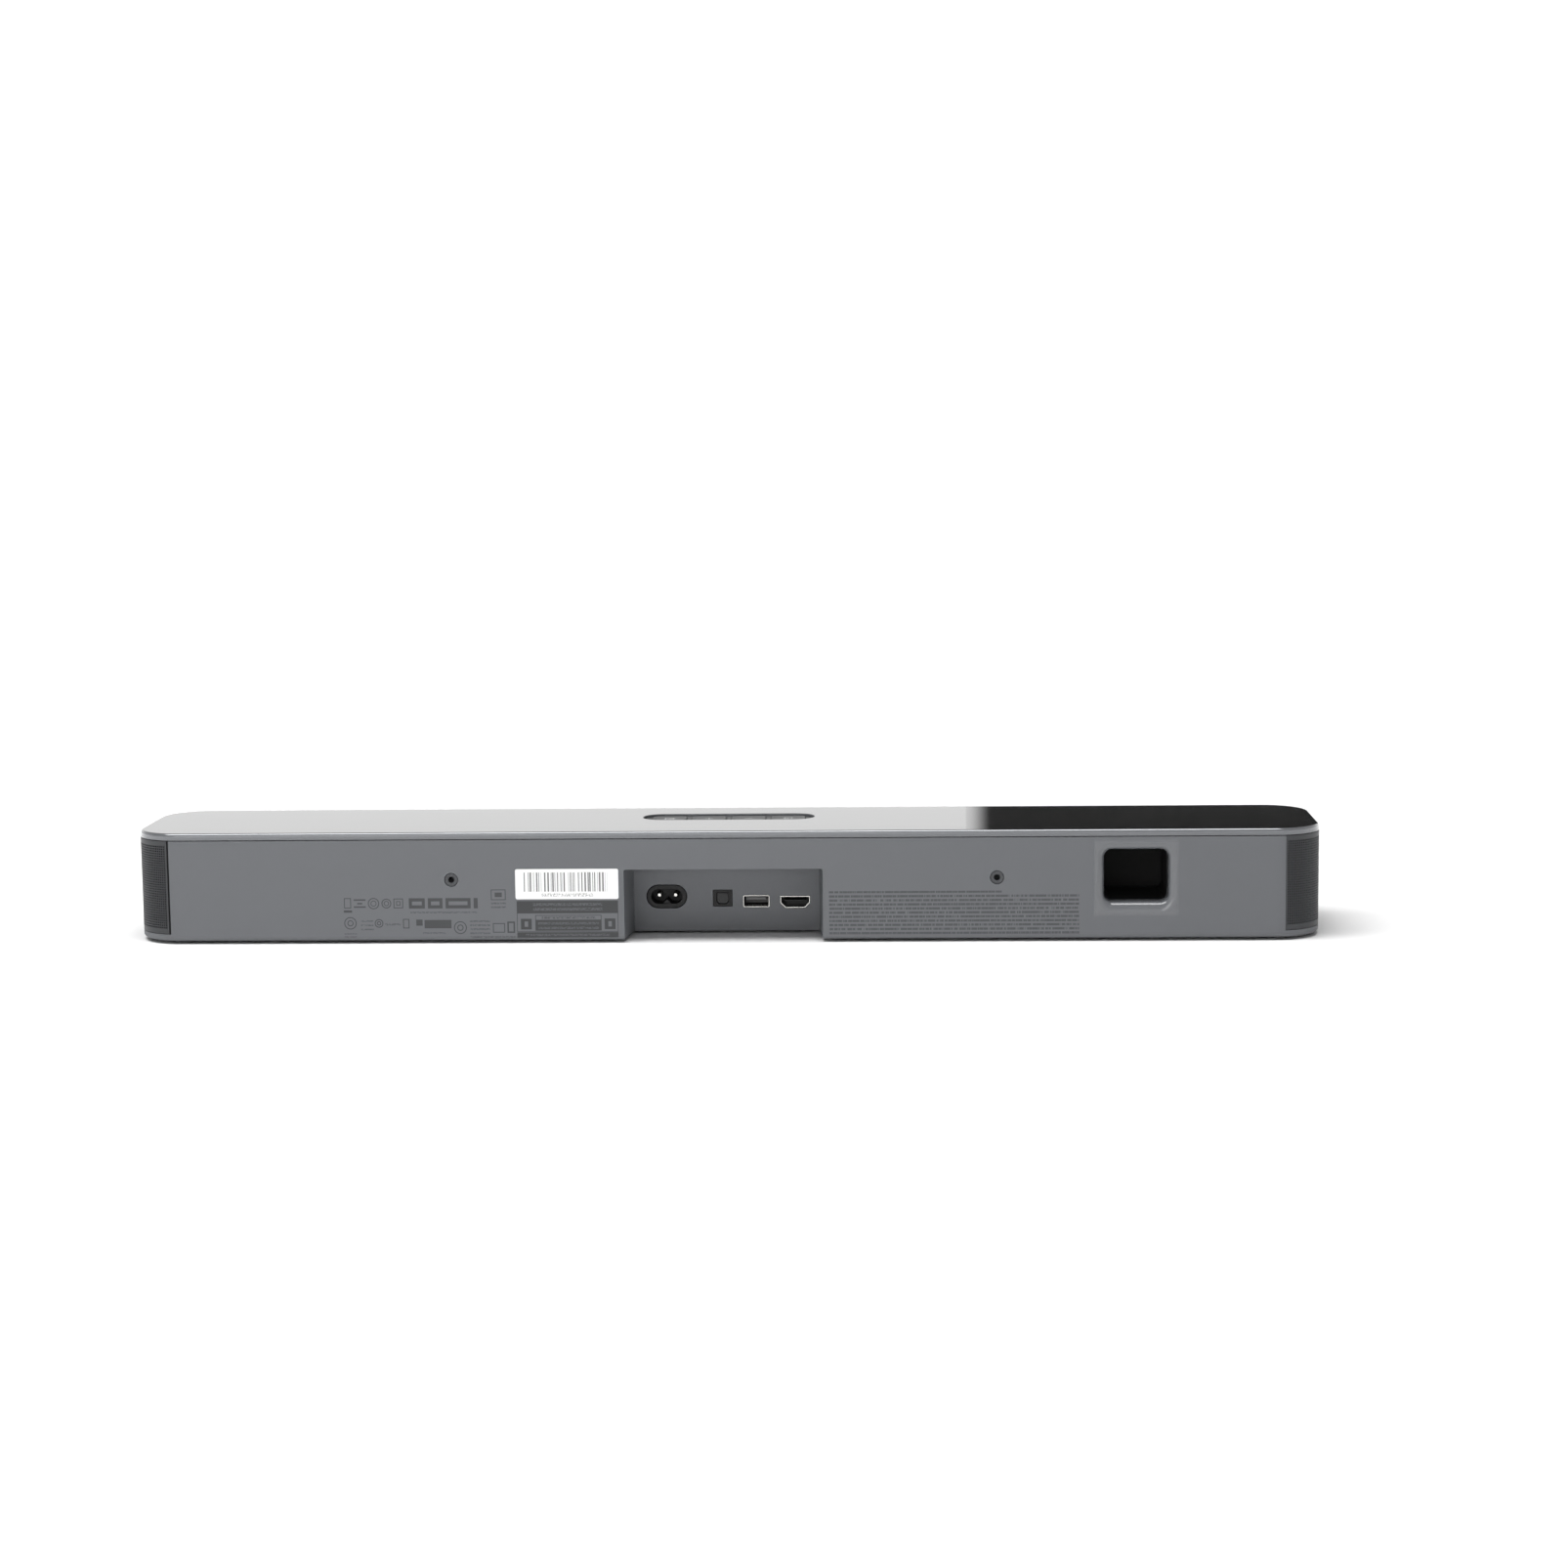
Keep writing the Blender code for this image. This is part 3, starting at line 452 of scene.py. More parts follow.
def small_rows(left, right, rows, height, amount=0.5):
    """Rows of broken dashes, too small to be writing, at the given heights."""
    dashes = place.node("ShaderNodeCombineXYZ", {}, {0: x * 1500, 1: z * 1100})
    dashes = dashes.node("ShaderNodeTexNoise", {}, {"Vector": dashes, "Scale": 1.0, "Detail": 2.0})
    dashes = dashes.math("GREATER_THAN", dashes, 0.47)
    total = 0
    for low in rows:
        total = print_at(left, right, low, low + height) + total
    return total * dashes * amount


rear_skin = y.math("GREATER_THAN", y, 44.9 * MM)
panels = print_at(54.4, 106.9, 15.8, 22.1) - small_rows(62.6, 98.4, (17, 19.5), 1.5, 0.55)
panels = panels + outline_at(54.4, 106.9, 5.9, 15.9, 0.3) + outline_at(63.1, 97.4, 11.9, 14.7, 0.35)
panels = panels + small_rows(66, 94, (12.7,), 1.2, 0.7)
panels = panels + print_at(63.1, 97.4, 6.5, 11.9) - small_rows(64.5, 96, (7.3, 9.7), 1.3, 0.5)
panels = panels + print_at(99.3, 104.9, 7.2, 12.8) - print_at(101.2, 103, 8.6, 11.4)
panels = panels + print_at(55.9, 61.5, 7.2, 12.8) - print_at(57.8, 59.6, 8.6, 11.4)
panels = panels + print_at(54.4, 106.9, 2.9, 5.7) - small_rows(59, 102.5, (3.7,), 1.2, 0.5)
marks = outline_at(112.5, 120.2, 22.6, 28.2) + print_at(114.5, 118.2, 24.2, 26.6)
marks = marks + small_rows(112.5, 120.2, (20.5, 18.5), 0.9, 0.8)
marks = marks + print_at(192.6, 196.9, 16.4, 17.6) + outline_at(193, 196.7, 18.6, 24)
marks = marks + print_at(185.4, 191.6, 22.6, 23.4) + print_at(185.4, 191.6, 18.9, 19.7)
marks = marks + print_at(187.2, 189.8, 20.7, 21.5)
for u, radius in ((181.3, 2.7), (174.6, 2.3)):
    marks = marks + ring(x, z, u, 21.1, radius, 0.5, place) + ring(x, z, u, 21.1, radius * 0.5, 0.4, place)
marks = marks + outline_at(165.9, 170.9, 18.6, 23.7) + outline_at(167.3, 169.5, 20, 22.3, 0.4)
for left, right in ((154.6, 162.9), (145.4, 153), (130.8, 143.8), (127.1, 129.2)):
    marks = marks + print_at(left, right, 18.4, 23.8) - print_at(left + 1.6, right - 1.6, 20.1, 22.1)
marks = marks + small_rows(127.5, 162.5, (15.9,), 0.8, 0.7)
for u, v, radius in ((193.6, 10.8, 3), (178.7, 10.7, 2), (136.4, 8.3, 3.1)):
    marks = marks + ring(x, z, u, v, radius, 0.5, place) + ring(x, z, u, v, radius * 0.45, 0.5, place)
marks = marks + outline_at(162.9, 166.2, 8, 13)
marks = marks + print_at(141, 155, 8, 12.4) + print_at(156, 159.3, 9.4, 12.6)
marks = marks + outline_at(113.2, 119.5, 5.6, 10.6) + outline_at(108, 112, 5.4, 11.4, 0.8)
marks = marks + small_rows(181.5, 188, (7.1, 9.3, 11.5), 0.8, 0.7) + small_rows(167.4, 175.5, (9.6,), 1, 0.7)
marks = marks + small_rows(121, 131.3, (4.9, 7, 9.1, 11.2), 0.9, 0.7)
marks = marks + small_rows(107.8, 131.3, (2.9,), 1, 0.7)
marks = marks + small_rows(144, 156, (5.2,), 0.7, 0.7) + small_rows(190.4, 196.8, (4.9, 3.4), 0.7, 0.7)
row_height = 2.13 * MM
row = z.math("DIVIDE", z - 4 * MM, row_height)
row_index = row.math("FLOOR", row)
in_row = row.math("LESS_THAN", row.math("FRACT", row), 0.56)
word = place.node("ShaderNodeCombineXYZ", {}, {0: x * 1150, 1: row_index * 17.3})
words = word.node("ShaderNodeTexNoise", {}, {"Vector": word, "Scale": 1.0, "Detail": 3.0, "Roughness": 0.7})
words = words.math("GREATER_THAN", words, 0.44)
text_block = print_at(-182.5, -54.4, 4, 25.3) + print_at(-143, -54.4, 25.4, 27.43)
greek = text_block * in_row * words
print_mask = rear_skin * (panels * 0.9 + marks * 0.8 + greek * 0.62)
print_mask = print_mask.math("MINIMUM", print_mask.math("MAXIMUM", print_mask, 0), 1)

rear_half = y.math("GREATER_THAN", y, 38 * MM)
behind = near(x, 0, 287.6 * MM) * y.math("GREATER_THAN", y, 14 * MM)
inset_x = x.math("MAXIMUM", x.math("ABSOLUTE", x) - (LENGTH / 2 - CORNER), 0)
inset_y = y.math("MAXIMUM", y.math("ABSOLUTE", y) - (DEPTH / 2 - CORNER), 0)
corner = place.node("ShaderNodeCombineXYZ", {}, {0: inset_x, 1: inset_y})
corner = place.node("ShaderNodeVectorMath", {"operation": "LENGTH"}, {0: corner}, "Value")
under_grille = corner.math("LESS_THAN", corner, 23.75 * MM) * z.math("GREATER_THAN", z, 5 * MM) * (1 - behind)

grain = noise(place, 2600, 3)
cloud = noise(place, 60, 2)
skin = between(grain, grey(0.1, 0.12), grey(0.138, 0.12))
skin = between(cloud * 0.3, skin, grey(0.127, 0.13))
skin = between(print_mask, skin, grey(0.024, 0.1))
skin = between(under_grille, skin, grey(0.012))
lip_u = x.math("ABSOLUTE", x - PORT[0]) - PORT_HALF[0]
lip_z = z - (PORT[1] - 0.9 * MM)
lip_v = lip_z.math("ABSOLUTE", lip_z) - PORT_HALF[1] - 0.9 * MM
lip = lip_u.math("MAXIMUM", lip_u, lip_v)
lip = lip.node("ShaderNodeMapRange", {}, {0: lip, 1: 5.4 * MM, 2: 4.4 * MM}) * rear_half
set_shader(tub_paint, {
    "Base Color": skin,
    "Roughness": (0.42 + 0.16 * grain + 0.1 * print_mask) * (1 - lip * 0.6),
    "Coat Weight": lip * 0.6,
    "Coat Roughness": 0.12,
    "Normal": bump(place, grain, 0.00012, 0.35),
})
place_on(tub, tub_paint, "housing", "rear_housing", slot="grey_plastic")


# Lid. A flat moulded cover whose band stands on the tub over a fine groove. Its top is a polished
# black sheet, and its rolled edge is sprayed grey like the tub. Four screws from below hold it.

LID_LOW, LID_HIGH = 54.4 * MM, 58 * MM
TRAY_Y = -9 * MM
lid = bar_block("lid", 0, LID_LOW, LID_HIGH)
round_edges(lid, 1.6 * MM, 8, lambda middle, way: middle.z > LID_HIGH - 1e-6)
cut(lid, bar_block("lid_inside", 2 * MM, 50 * MM, 56 * MM))
cut(lid, oval_block("tray_opening", 91 * MM, 23 * MM, (0, TRAY_Y), (50 * MM, 60 * MM), "Z"))
round_edges(lid, 0.4 * MM, 3, lambda middle, way: middle.z > LID_HIGH - 1e-6 and abs(middle.x) < 46 * MM
            and abs(middle.y - TRAY_Y) < 12 * MM)
smooth(lid, 0.2 * MM)

lid_paint, place = new_finish("gloss_lid")
z = apart(place)[2]
grain = noise(place, 2600, 3)
top = z.node("ShaderNodeMapRange", {"interpolation_type": "SMOOTHSTEP"},
             {0: z, 1: 57.72 * MM, 2: 57.9 * MM})
haze = noise(place, 25, 3)
band = between(grain, grey(0.11, 0.12), grey(0.14, 0.12))
set_shader(lid_paint, {
    "Base Color": between(top, band, grey(0.008)),
    "Roughness": (1 - top) * 0.2 + top * (0.07 + 0.05 * haze),
    "Metallic": (1 - top) * 0.5,
    "Coat Weight": 1 - top * 0.5,
    "Coat Roughness": 0.07,
    "Normal": bump(place, grain, 0.00001, 0.1),
})
place_on(lid, lid_paint, "housing", "top_cover", slot="gloss_black")


# Grille. One strip of thin steel, punched with square holes on a square grid, painted black-grey
# and wrapped round the front and both ends, with a plain hem above and below. It clips to the tub.

PITCH, HOLE, SHEET = 1.248 * MM, 0.83 * MM, 0.6 * MM
COLUMNS, ROWS, PARTS = 632, 35, 4
GRILLE_LOW, GRILLE_HIGH = 5.4 * MM, 54 * MM
FIELD_LOW = 8 * MM
END_ANGLE = math.radians(76.4)
END_HEM = 0.8 * MM


def wrap_path():
    """The bar's plan from one end of the grille round the front to the other."""
    points = []
    steps = 48
    for sx, sy, first, last in ((1, 1, END_ANGLE, 0), (1, -1, 0, -math.pi / 2),
                                (-1, -1, -math.pi / 2, -math.pi), (-1, 1, math.pi, math.pi - END_ANGLE)):
        for step in range(steps + 1):
            angle = first + (last - first) * step / steps
            points.append((sx * (LENGTH / 2 - CORNER) + CORNER * math.cos(angle),
                           sy * (DEPTH / 2 - CORNER) + CORNER * math.sin(angle), 0))
    curve = bpy.data.curves.new("grille_path", "CURVE")
    curve.dimensions = "2D"
    spline = curve.splines.new("POLY")
    spline.points.add(len(points) - 1)
    for point, corner_place in zip(spline.points, points):
        point.co = (*corner_place, 1)
    path = bpy.data.objects.new("grille_path", curve)
    bpy.context.scene.collection.objects.link(path)
    return path


grille_paint, place = new_finish("grille_paint")
fleck = noise(place, 1500, 2)
set_shader(grille_paint, {
    "Base Color": between(fleck, grey(0.034, 0.12), grey(0.05, 0.12)),
    "Roughness": 0.42 + 0.12 * fleck,
    "Metallic": 0.25,
    "Normal": bump(place, fleck, 0.00004, 0.3),
})

path = wrap_path()
for part_number in range(PARTS):
    columns = COLUMNS // PARTS
    start = END_HEM + part_number * columns * PITCH
    bpy.ops.object.select_all(action="DESELECT")
    bpy.ops.mesh.primitive_plane_add(size=PITCH, location=(start + PITCH / 2, 0, FIELD_LOW + PITCH / 2),
                                     rotation=(math.radians(90), 0, 0))
    strip = bpy.context.object
    strip.name = f"grille_{part_number + 1}"
    bpy.ops.object.transform_apply()
    select(strip, "FACE", lambda middle, normal: True)
    bpy.ops.mesh.inset(thickness=(PITCH - HOLE) / 2)
    bpy.ops.mesh.delete(type="FACE")
    done()
    apply(strip, "ARRAY", count=ROWS, use_relative_offset=False, use_constant_offset=True,
          constant_offset_displace=(0, 0, PITCH), use_merge_vertices=True, merge_threshold=0.00001)
    apply(strip, "ARRAY", count=columns, use_relative_offset=False, use_constant_offset=True,
          constant_offset_displace=(PITCH, 0, 0), use_merge_vertices=True, merge_threshold=0.00001)
    field_high = FIELD_LOW + ROWS * PITCH
    for level, reach in ((FIELD_LOW, GRILLE_LOW - FIELD_LOW), (field_high, GRILLE_HIGH - field_high)):
        select(strip, "EDGE", lambda middle, way: abs(middle.z - level) < 0.01 * MM)
        bpy.ops.mesh.extrude_edges_move(TRANSFORM_OT_translate={"value": (0, 0, reach)})
        done()
    for end, level, reach in ((0, start, -END_HEM), (PARTS - 1, start + columns * PITCH, END_HEM)):
        if part_number == end:
            select(strip, "EDGE", lambda middle, way: abs(middle.x - level) < 0.01 * MM)
            bpy.ops.mesh.extrude_edges_move(TRANSFORM_OT_translate={"value": (reach, 0, 0)})
            done()
    apply(strip, "SOLIDIFY", thickness=SHEET, offset=1)
    apply(strip, "CURVE", object=path, deform_axis="POS_X")
    select(strip, "FACE", lambda middle, normal: True)
    bpy.ops.mesh.normals_make_consistent(inside=False)
    done()
    bpy.ops.object.shade_smooth_by_angle(angle=math.radians(30))
    stands_for = ["front_grille"] if part_number == 0 else []
    place_on(strip, grille_paint, "housing", *stands_for, slot="grille_paint")
bpy.data.objects.remove(path)


# Control tray. An oval black moulding clipped up into the lid, a little below its top, with a hole
# for each key. Its flange lies against the lid's underside and two posts hold the keys' board.

KEY_PITCH = 21 * MM
KEYS = ("power_button", "volume_down_button", "volume_up_button", "source_button")
KEY_X = [(place_number - 1.5) * KEY_PITCH for place_number in range(4)]

tray = oval_block("control_tray_moulding", 90.4 * MM, 22.4 * MM, (0, TRAY_Y), (55 * MM, 56.8 * MM), "Z")
round_edges(tray, 0.35 * MM, 3, lambda middle, way: middle.z > 56.7 * MM)
cut(tray, oval_block("tray_flange", 97 * MM, 29 * MM, (0, TRAY_Y), (54.5 * MM, 55.7 * MM), "Z"),
    *[rod("tray_post", 1.5 * MM, (side * 43 * MM, TRAY_Y), (50.6 * MM, 55 * MM), "Z", 24)
      for side in (1, -1)],
    operation="UNION")
cut(tray, *[slab("key_hole", 18.6 * MM, 16.6 * MM, 3.3 * MM, (key_x, TRAY_Y), (53 * MM, 58 * MM), "Z")
            for key_x in KEY_X])
smooth(tray, 0.15 * MM)

tray_paint, place = new_finish("satin_black_plastic")
grain = noise(place, 2200, 3)
wipes = noise(place, 30, 4)
set_shader(tray_paint, {
    "Base Color": between(wipes, grey(0.014, 0.05), grey(0.021, 0.05)),
    "Roughness": 0.3 + 0.14 * wipes + 0.06 * grain,
    "Normal": bump(place, grain, 0.00004, 0.25),
})
place_on(tray, tray_paint, "housing", "control_tray", slot="black_plastic")


# Keys. Four moulded caps with a shallow dish for a fingertip and a skirt that keeps them in the
# tray. Each slides straight down onto its own switch. Their signs are printed in pale ink.

def key_sign(name, u, v, place):
    """One on a key's printed sign, whose upper side points away from the listener."""
    def bar(left, right, low, high):
        return patch(u, v, left, right, low, high)

    if name == "power_button":
        gap = bar(-0.7, 0.7, 0.6, 3)
        return ring(u, v, 0, 0, 2.1, 0.45, place) * (1 - gap) + bar(-0.22, 0.22, 0.7, 2.6)
    if name == "volume_down_button":
        return bar(-2, 2, -0.22, 0.22)
    if name == "volume_up_button":
        upright = bar(-0.22, 0.22, 0.22, 2) + bar(-0.22, 0.22, -2, -0.22)
        return bar(-2, 2, -0.22, 0.22) + upright
    frame_lines = bar(-2.4, 2.4, -1.9, 1.9) - bar(-2, 2, -1.5, 1.5)
    return frame_lines * (1 - bar(-3, -1, -0.7, 0.7)) + bar(-3.3, 0.2, -0.22, 0.22)


for name, key_x in zip(KEYS, KEY_X):
    key = slab(f"{name}_cap", 18 * MM, 16 * MM, 3 * MM, (key_x, TRAY_Y), (54 * MM, 57.3 * MM), "Z")
    dish = rod("finger_dish", 107 * MM, (TRAY_Y, 57.3 * MM + 106.75 * MM),
               (key_x - 7.6 * MM, key_x + 7.6 * MM), "X", 512)
    round_edges(key, 0.5 * MM, 5, lambda middle, way: middle.z > 57.2 * MM)
    cut(key, dish)
    cut(key, slab("key_skirt", 20 * MM, 18 * MM, 4 * MM, (key_x, TRAY_Y), (53.3 * MM, 54.2 * MM), "Z"),
        operation="UNION")
    smooth(key, 0.12 * MM)
    key_paint, place = new_finish(f"{name}_paint")
    x, y, z = apart(place)
    sign = key_sign(name, x - key_x, y - TRAY_Y, place) * z.math("GREATER_THAN", z, 56.9 * MM)
    grain = noise(place, 2200, 3)
    touch = noise(place, 90, 3)
    skin = between(touch, grey(0.026, 0.05), grey(0.036, 0.05))
    set_shader(key_paint, {
        "Base Color": between(sign, skin, grey(0.62)),
        "Roughness": 0.34 + 0.12 * touch + 0.05 * grain,
        "Normal": bump(place, grain, 0.00004, 0.25),
    })
    place_on(key, key_paint, name, name, slot="key_plastic")


# Mains inlet. A socket with round ends moulded in black plastic, with a keyed notch below, that
# passes through the bay's wall. Two nickel pins with domed tips stand at the bottom of it.

inlet = oval_block("mains_inlet", 20.8 * MM, 12 * MM, INLET, (-2 * MM, 18 * MM))
round_edges(inlet, 0.3 * MM, 3, lambda middle, way: middle.y > 17.9 * MM)
cut(inlet, oval_block("inlet_cavity", 16.4 * MM, 7.8 * MM, INLET, (7 * MM, 19 * MM)))
notch = slab("inlet_notch", 3.7 * MM, 3.7 * MM, 0.2 * MM, (INLET[0], INLET[1] - 4.25 * MM),
             (6.5 * MM, 17 * MM))
select(notch, "FACE", lambda middle, normal: True)
bpy.ops.transform.rotate(value=math.radians(45), orient_axis="Y",
                         center_override=(INLET[0], 12 * MM, INLET[1] - 4.25 * MM))
done()
cut(notch, block("below_notch", (0, 0, -1 * MM), (60 * MM, 30 * MM, INLET[1] - 4.6 * MM)))
cut(inlet, notch, operation="UNION")
PIN_OFFSET = 4.3 * MM
cut(inlet, *[rod("pin_hole", 1.5 * MM, (INLET[0] + side * PIN_OFFSET, INLET[1]), (-3 * MM, 8 * MM))
             for side in (1, -1)])
smooth(inlet, 0.15 * MM)

socket_paint, place = new_finish("socket_black_plastic")
grain = noise(place, 1800, 3)
set_shader(socket_paint, {
    "Base Color": between(grain, grey(0.005), grey(0.009)),
    "Roughness": 0.42 + 0.16 * grain,
    "Specular IOR Level": 0.3,
    "Normal": bump(place, grain, 0.00005, 0.3),
})
place_on(inlet, socket_paint, "housing", "power_inlet", slot="black_plastic")

nickel, place = new_finish("satin_nickel_painted_shade")
x, y, z = apart(place)
drawn = noise(place, 900, 4)
# Painted shade: everywhere but the front rims of the shells and the mains pins, the nickel is coloured
# near-black. This stands in for the shadow inside the sockets' hollows and is not a colour of the plating.
clear_of_painted_shade = near(x, INLET[0], 8 * MM) + y.math("GREATER_THAN", y, 17.45 * MM)
clear_of_painted_shade = clear_of_painted_shade.math("MINIMUM", clear_of_painted_shade, 1)
plated = between(drawn, (0.6, 0.59, 0.56, 1), (0.74, 0.73, 0.7, 1))
set_shader(nickel, {
    "Base Color": between(clear_of_painted_shade, grey(0.02), plated),
    "Roughness": 0.16 + 0.16 * drawn,
    "Metallic": 1.0,
    "Normal": bump(place, drawn, 0.00003, 0.25),
})
for side, name in ((-1, "left"), (1, "right")):
    pin = rod(f"mains_pin_{name}", 1.2 * MM, (INLET[0] + side * PIN_OFFSET, INLET[1]),
              (-4 * MM, 13.5 * MM), sides=32)
    round_edges(pin, 0.6 * MM, 6, lambda middle, way: middle.y > 13.4 * MM)
    round_edges(pin, 0.3 * MM, 2, lambda middle, way: middle.y < -3.9 * MM)
    smooth(pin)
    place_on(pin, nickel, "housing", f"inlet_pin_{name}", slot="nickel")


# Optical socket. A small black moulding whose mouth is closed by a sprung shutter. The shutter hangs
# on a rod in two pockets at the top of the mouth and swings inwards when a plug is pushed in.

SHUTTER_Y, SHUTTER_Z = 16.6 * MM, 21.2 * MM


def mouth_bar(name, width, height, corner, centre, span):
    """A bar with a rectangular section whose two lower corners are cut off."""
    u, v = width / 2, height / 2
    made = block(name, (centre[0] - u, span[0], centre[1] - v), (centre[0] + u, span[1], centre[1] + v))
    round_edges(made, corner, 1, lambda middle, way: abs(way.y) > 0.99 and middle.z < centre[1])
    return made


optical = slab("optical_socket", 9.8 * MM, 8.5 * MM, 0.5 * MM, OPTICAL, (5 * MM, 17.9 * MM), steps=3)
cut(optical, mouth_bar("mouth", 6.4 * MM, 6.4 * MM, 1.3 * MM, OPTICAL, (7 * MM, 19 * MM)))
cut(optical, rod("pivot_pockets", 0.9 * MM, (SHUTTER_Y, SHUTTER_Z),
                 (OPTICAL[0] - 4.1 * MM, OPTICAL[0] + 4.1 * MM), "X", 32))
smooth(optical, 0.12 * MM)
place_on(optical, socket_paint, "housing", "optical_jack", slot="black_plastic")

shutter = mouth_bar("shutter_flap", 5.8 * MM, 5.4 * MM, 1.2 * MM, (OPTICAL[0], SHUTTER_Z - 2.7 * MM),
                    (SHUTTER_Y - 0.3 * MM, SHUTTER_Y + 0.3 * MM))
cut(shutter, slab("shutter_panel", 3.4 * MM, 2.4 * MM, 0.3 * MM, (OPTICAL[0], SHUTTER_Z - 3.1 * MM),
                  (SHUTTER_Y + 0.18 * MM, SHUTTER_Y + 1 * MM), steps=2))
cut(shutter, rod("shutter_rod", 0.55 * MM, (SHUTTER_Y, SHUTTER_Z),
                 (OPTICAL[0] - 3.7 * MM, OPTICAL[0] + 3.7 * MM), "X", 24), operation="UNION")
smooth(shutter, 0.06 * MM)

shutter_paint, place = new_finish("shutter_plastic")
grain = noise(place, 1400, 3)
set_shader(shutter_paint, {
    "Base Color": between(grain, grey(0.008, 0.1), grey(0.014, 0.1)),
    "Roughness": 0.34 + 0.14 * grain,
    "Specular IOR Level": 0.4,
    "Normal": bump(place, grain, 0.00004, 0.25),
})
place_on(shutter, shutter_paint, "optical_shutter", "optical_shutter", slot="black_plastic")


# USB socket. A folded nickel shell with a joint along its foot and two sprung tabs on each long
# side, round a black tongue with four gilt contacts.

usb = slab("usb_can", 13.7 * MM, 6.2 * MM, 0.8 * MM, USB, (4 * MM, 17.9 * MM))
cut(usb, slab("usb_inside", 13 * MM, 5.5 * MM, 0.5 * MM, USB, (5 * MM, 19 * MM)))
cut(usb, *[block("sprung_tab_gap", (USB[0] + side * 3.2 * MM + shift - 0.12 * MM, 9 * MM, USB[1] - 4 * MM),
                 (USB[0] + side * 3.2 * MM + shift + 0.12 * MM, 14 * MM, USB[1] + 4 * MM))
           for side in (1, -1) for shift in (-0.9 * MM, 0.9 * MM)])
smooth(usb, 0.08 * MM)
place_on(usb, nickel, "housing", "usb_shell", slot="nickel")

contact_metal, place = new_finish("gilt_contacts")
x, y, z = apart(place)
worn = noise(place, 700, 3)
stripes = near((x - USB[0]).math("FRACT", ((x - USB[0]) + 5 * MM) * 400), 0.5, 0.25)
gilt = stripes * y.math("GREATER_THAN", y, 9.5 * MM) * z.math("LESS_THAN", z, USB[1] + 0.5 * MM)
set_shader(contact_metal, {
    "Base Color": between(gilt, between(worn, grey(0.09), grey(0.13)), (0.62, 0.42, 0.16, 1)),
    "Roughness": 0.42 - 0.14 * gilt + 0.1 * worn,
    "Metallic": gilt,
    "Normal": bump(place, worn, 0.00003, 0.2),
})
usb_tongue = block("usb_contact_tongue", (USB[0] - 5.5 * MM, 7 * MM, USB[1] + 0.3 * MM),
                   (USB[0] + 5.5 * MM, 16.4 * MM, USB[1] + 2.1 * MM))
select(usb_tongue, "FACE", lambda middle, normal: normal.y > 0.9)
bpy.ops.transform.resize(value=(0.93, 1, 0.72), center_override=(USB[0], 16.4 * MM, USB[1] + 1.4 * MM))
done()
cut(usb_tongue, block("tongue_root", (USB[0] - 6.1 * MM, 5.3 * MM, USB[1] - 2.4 * MM),
                      (USB[0] + 6.1 * MM, 7.8 * MM, USB[1] + 2.4 * MM)), operation="UNION")
smooth(usb_tongue, 0.1 * MM)
place_on(usb_tongue, contact_metal, "housing", "usb_tongue", slot="black_plastic")


# HDMI socket. A nickel shell with its two lower corners cut off, flared a little at its rim, round a
# thin black tongue that carries the contacts.

hdmi = hdmi_bar("hdmi_can", 0, (6 * MM, 17.9 * MM))
cut(hdmi, hdmi_bar("hdmi_inside", -0.38 * MM, (7 * MM, 19 * MM)))
cut(hdmi, *[slab("latch_window", 1.6 * MM, 2.6 * MM, 0.3 * MM, (HDMI[0] + side * 4.2 * MM, 13 * MM),
                 (HDMI[1] + 1 * MM, HDMI[1] + 4 * MM), "Z", 2) for side in (1, -1)])
smooth(hdmi, 0.1 * MM)
place_on(hdmi, nickel, "housing", "hdmi_shell", slot="nickel")
hdmi_tongue = block("hdmi_contact_tongue", (HDMI[0] - 5.7 * MM, 9 * MM, HDMI[1]),
                    (HDMI[0] + 5.7 * MM, 16.2 * MM, HDMI[1] + 1.1 * MM))
select(hdmi_tongue, "FACE", lambda middle, normal: normal.y > 0.9)
bpy.ops.transform.resize(value=(0.95, 1, 0.6), center_override=(HDMI[0], 16.2 * MM, HDMI[1] + 0.55 * MM))
done()
cut(hdmi_tongue, block("tongue_root", (HDMI[0] - 6.5 * MM, 7.3 * MM, HDMI[1] - 0.2 * MM),
                       (HDMI[0] + 6.5 * MM, 9.5 * MM, HDMI[1] + 2.2 * MM)), operation="UNION")
smooth(hdmi_tongue, 0.08 * MM)
place_on(hdmi_tongue, socket_paint, "housing", "hdmi_tongue", slot="black_plastic")


# Wall inserts. Two blackened steel bushes pressed into bosses behind the rear wall, with a chamfered
# mouth and a thread for the bracket's bolts.

blackened, place = new_finish("blackened_steel")
scratch = noise(place, 1100, 4)
set_shader(blackened, {
    "Base Color": between(scratch, grey(0.045, 0.1), grey(0.08, 0.1)),
    "Roughness": 0.34 + 0.16 * scratch,
    "Metallic": 0.6,
    "Normal": bump(place, scratch, 0.00004, 0.3),
})
for (insert_x, insert_z), name in zip(INSERTS, ("left", "right")):
    insert = rod(f"threaded_insert_{name}", 3.3 * MM, (insert_x, insert_z), (35.2 * MM, 44.6 * MM), sides=48)
    cut(insert, rod("insert_bore", 1.6 * MM, (insert_x, insert_z), (34 * MM, 46 * MM), sides=32))
    thread_turns = [rod("thread_groove", 1.85 * MM, (insert_x, insert_z),
                        ((36 + 0.8 * turn) * MM, (36.4 + 0.8 * turn) * MM), sides=32) for turn in range(10)]
    for groove in thread_turns:
        round_edges(groove, 0.17 * MM, 1, lambda middle, way: abs(way.y) < 0.1)
    cut(insert, *thread_turns)
    round_edges(insert, 0.35 * MM, 2, lambda middle, way: middle.y > 44.5 * MM)
    smooth(insert)
    place_on(insert, blackened, "housing", f"wall_insert_{name}", slot="black_steel")


# Rating label. A white laminated paper label laid in a shallow seat. It carries plain stripes and a
# row of small ticks and no writing.

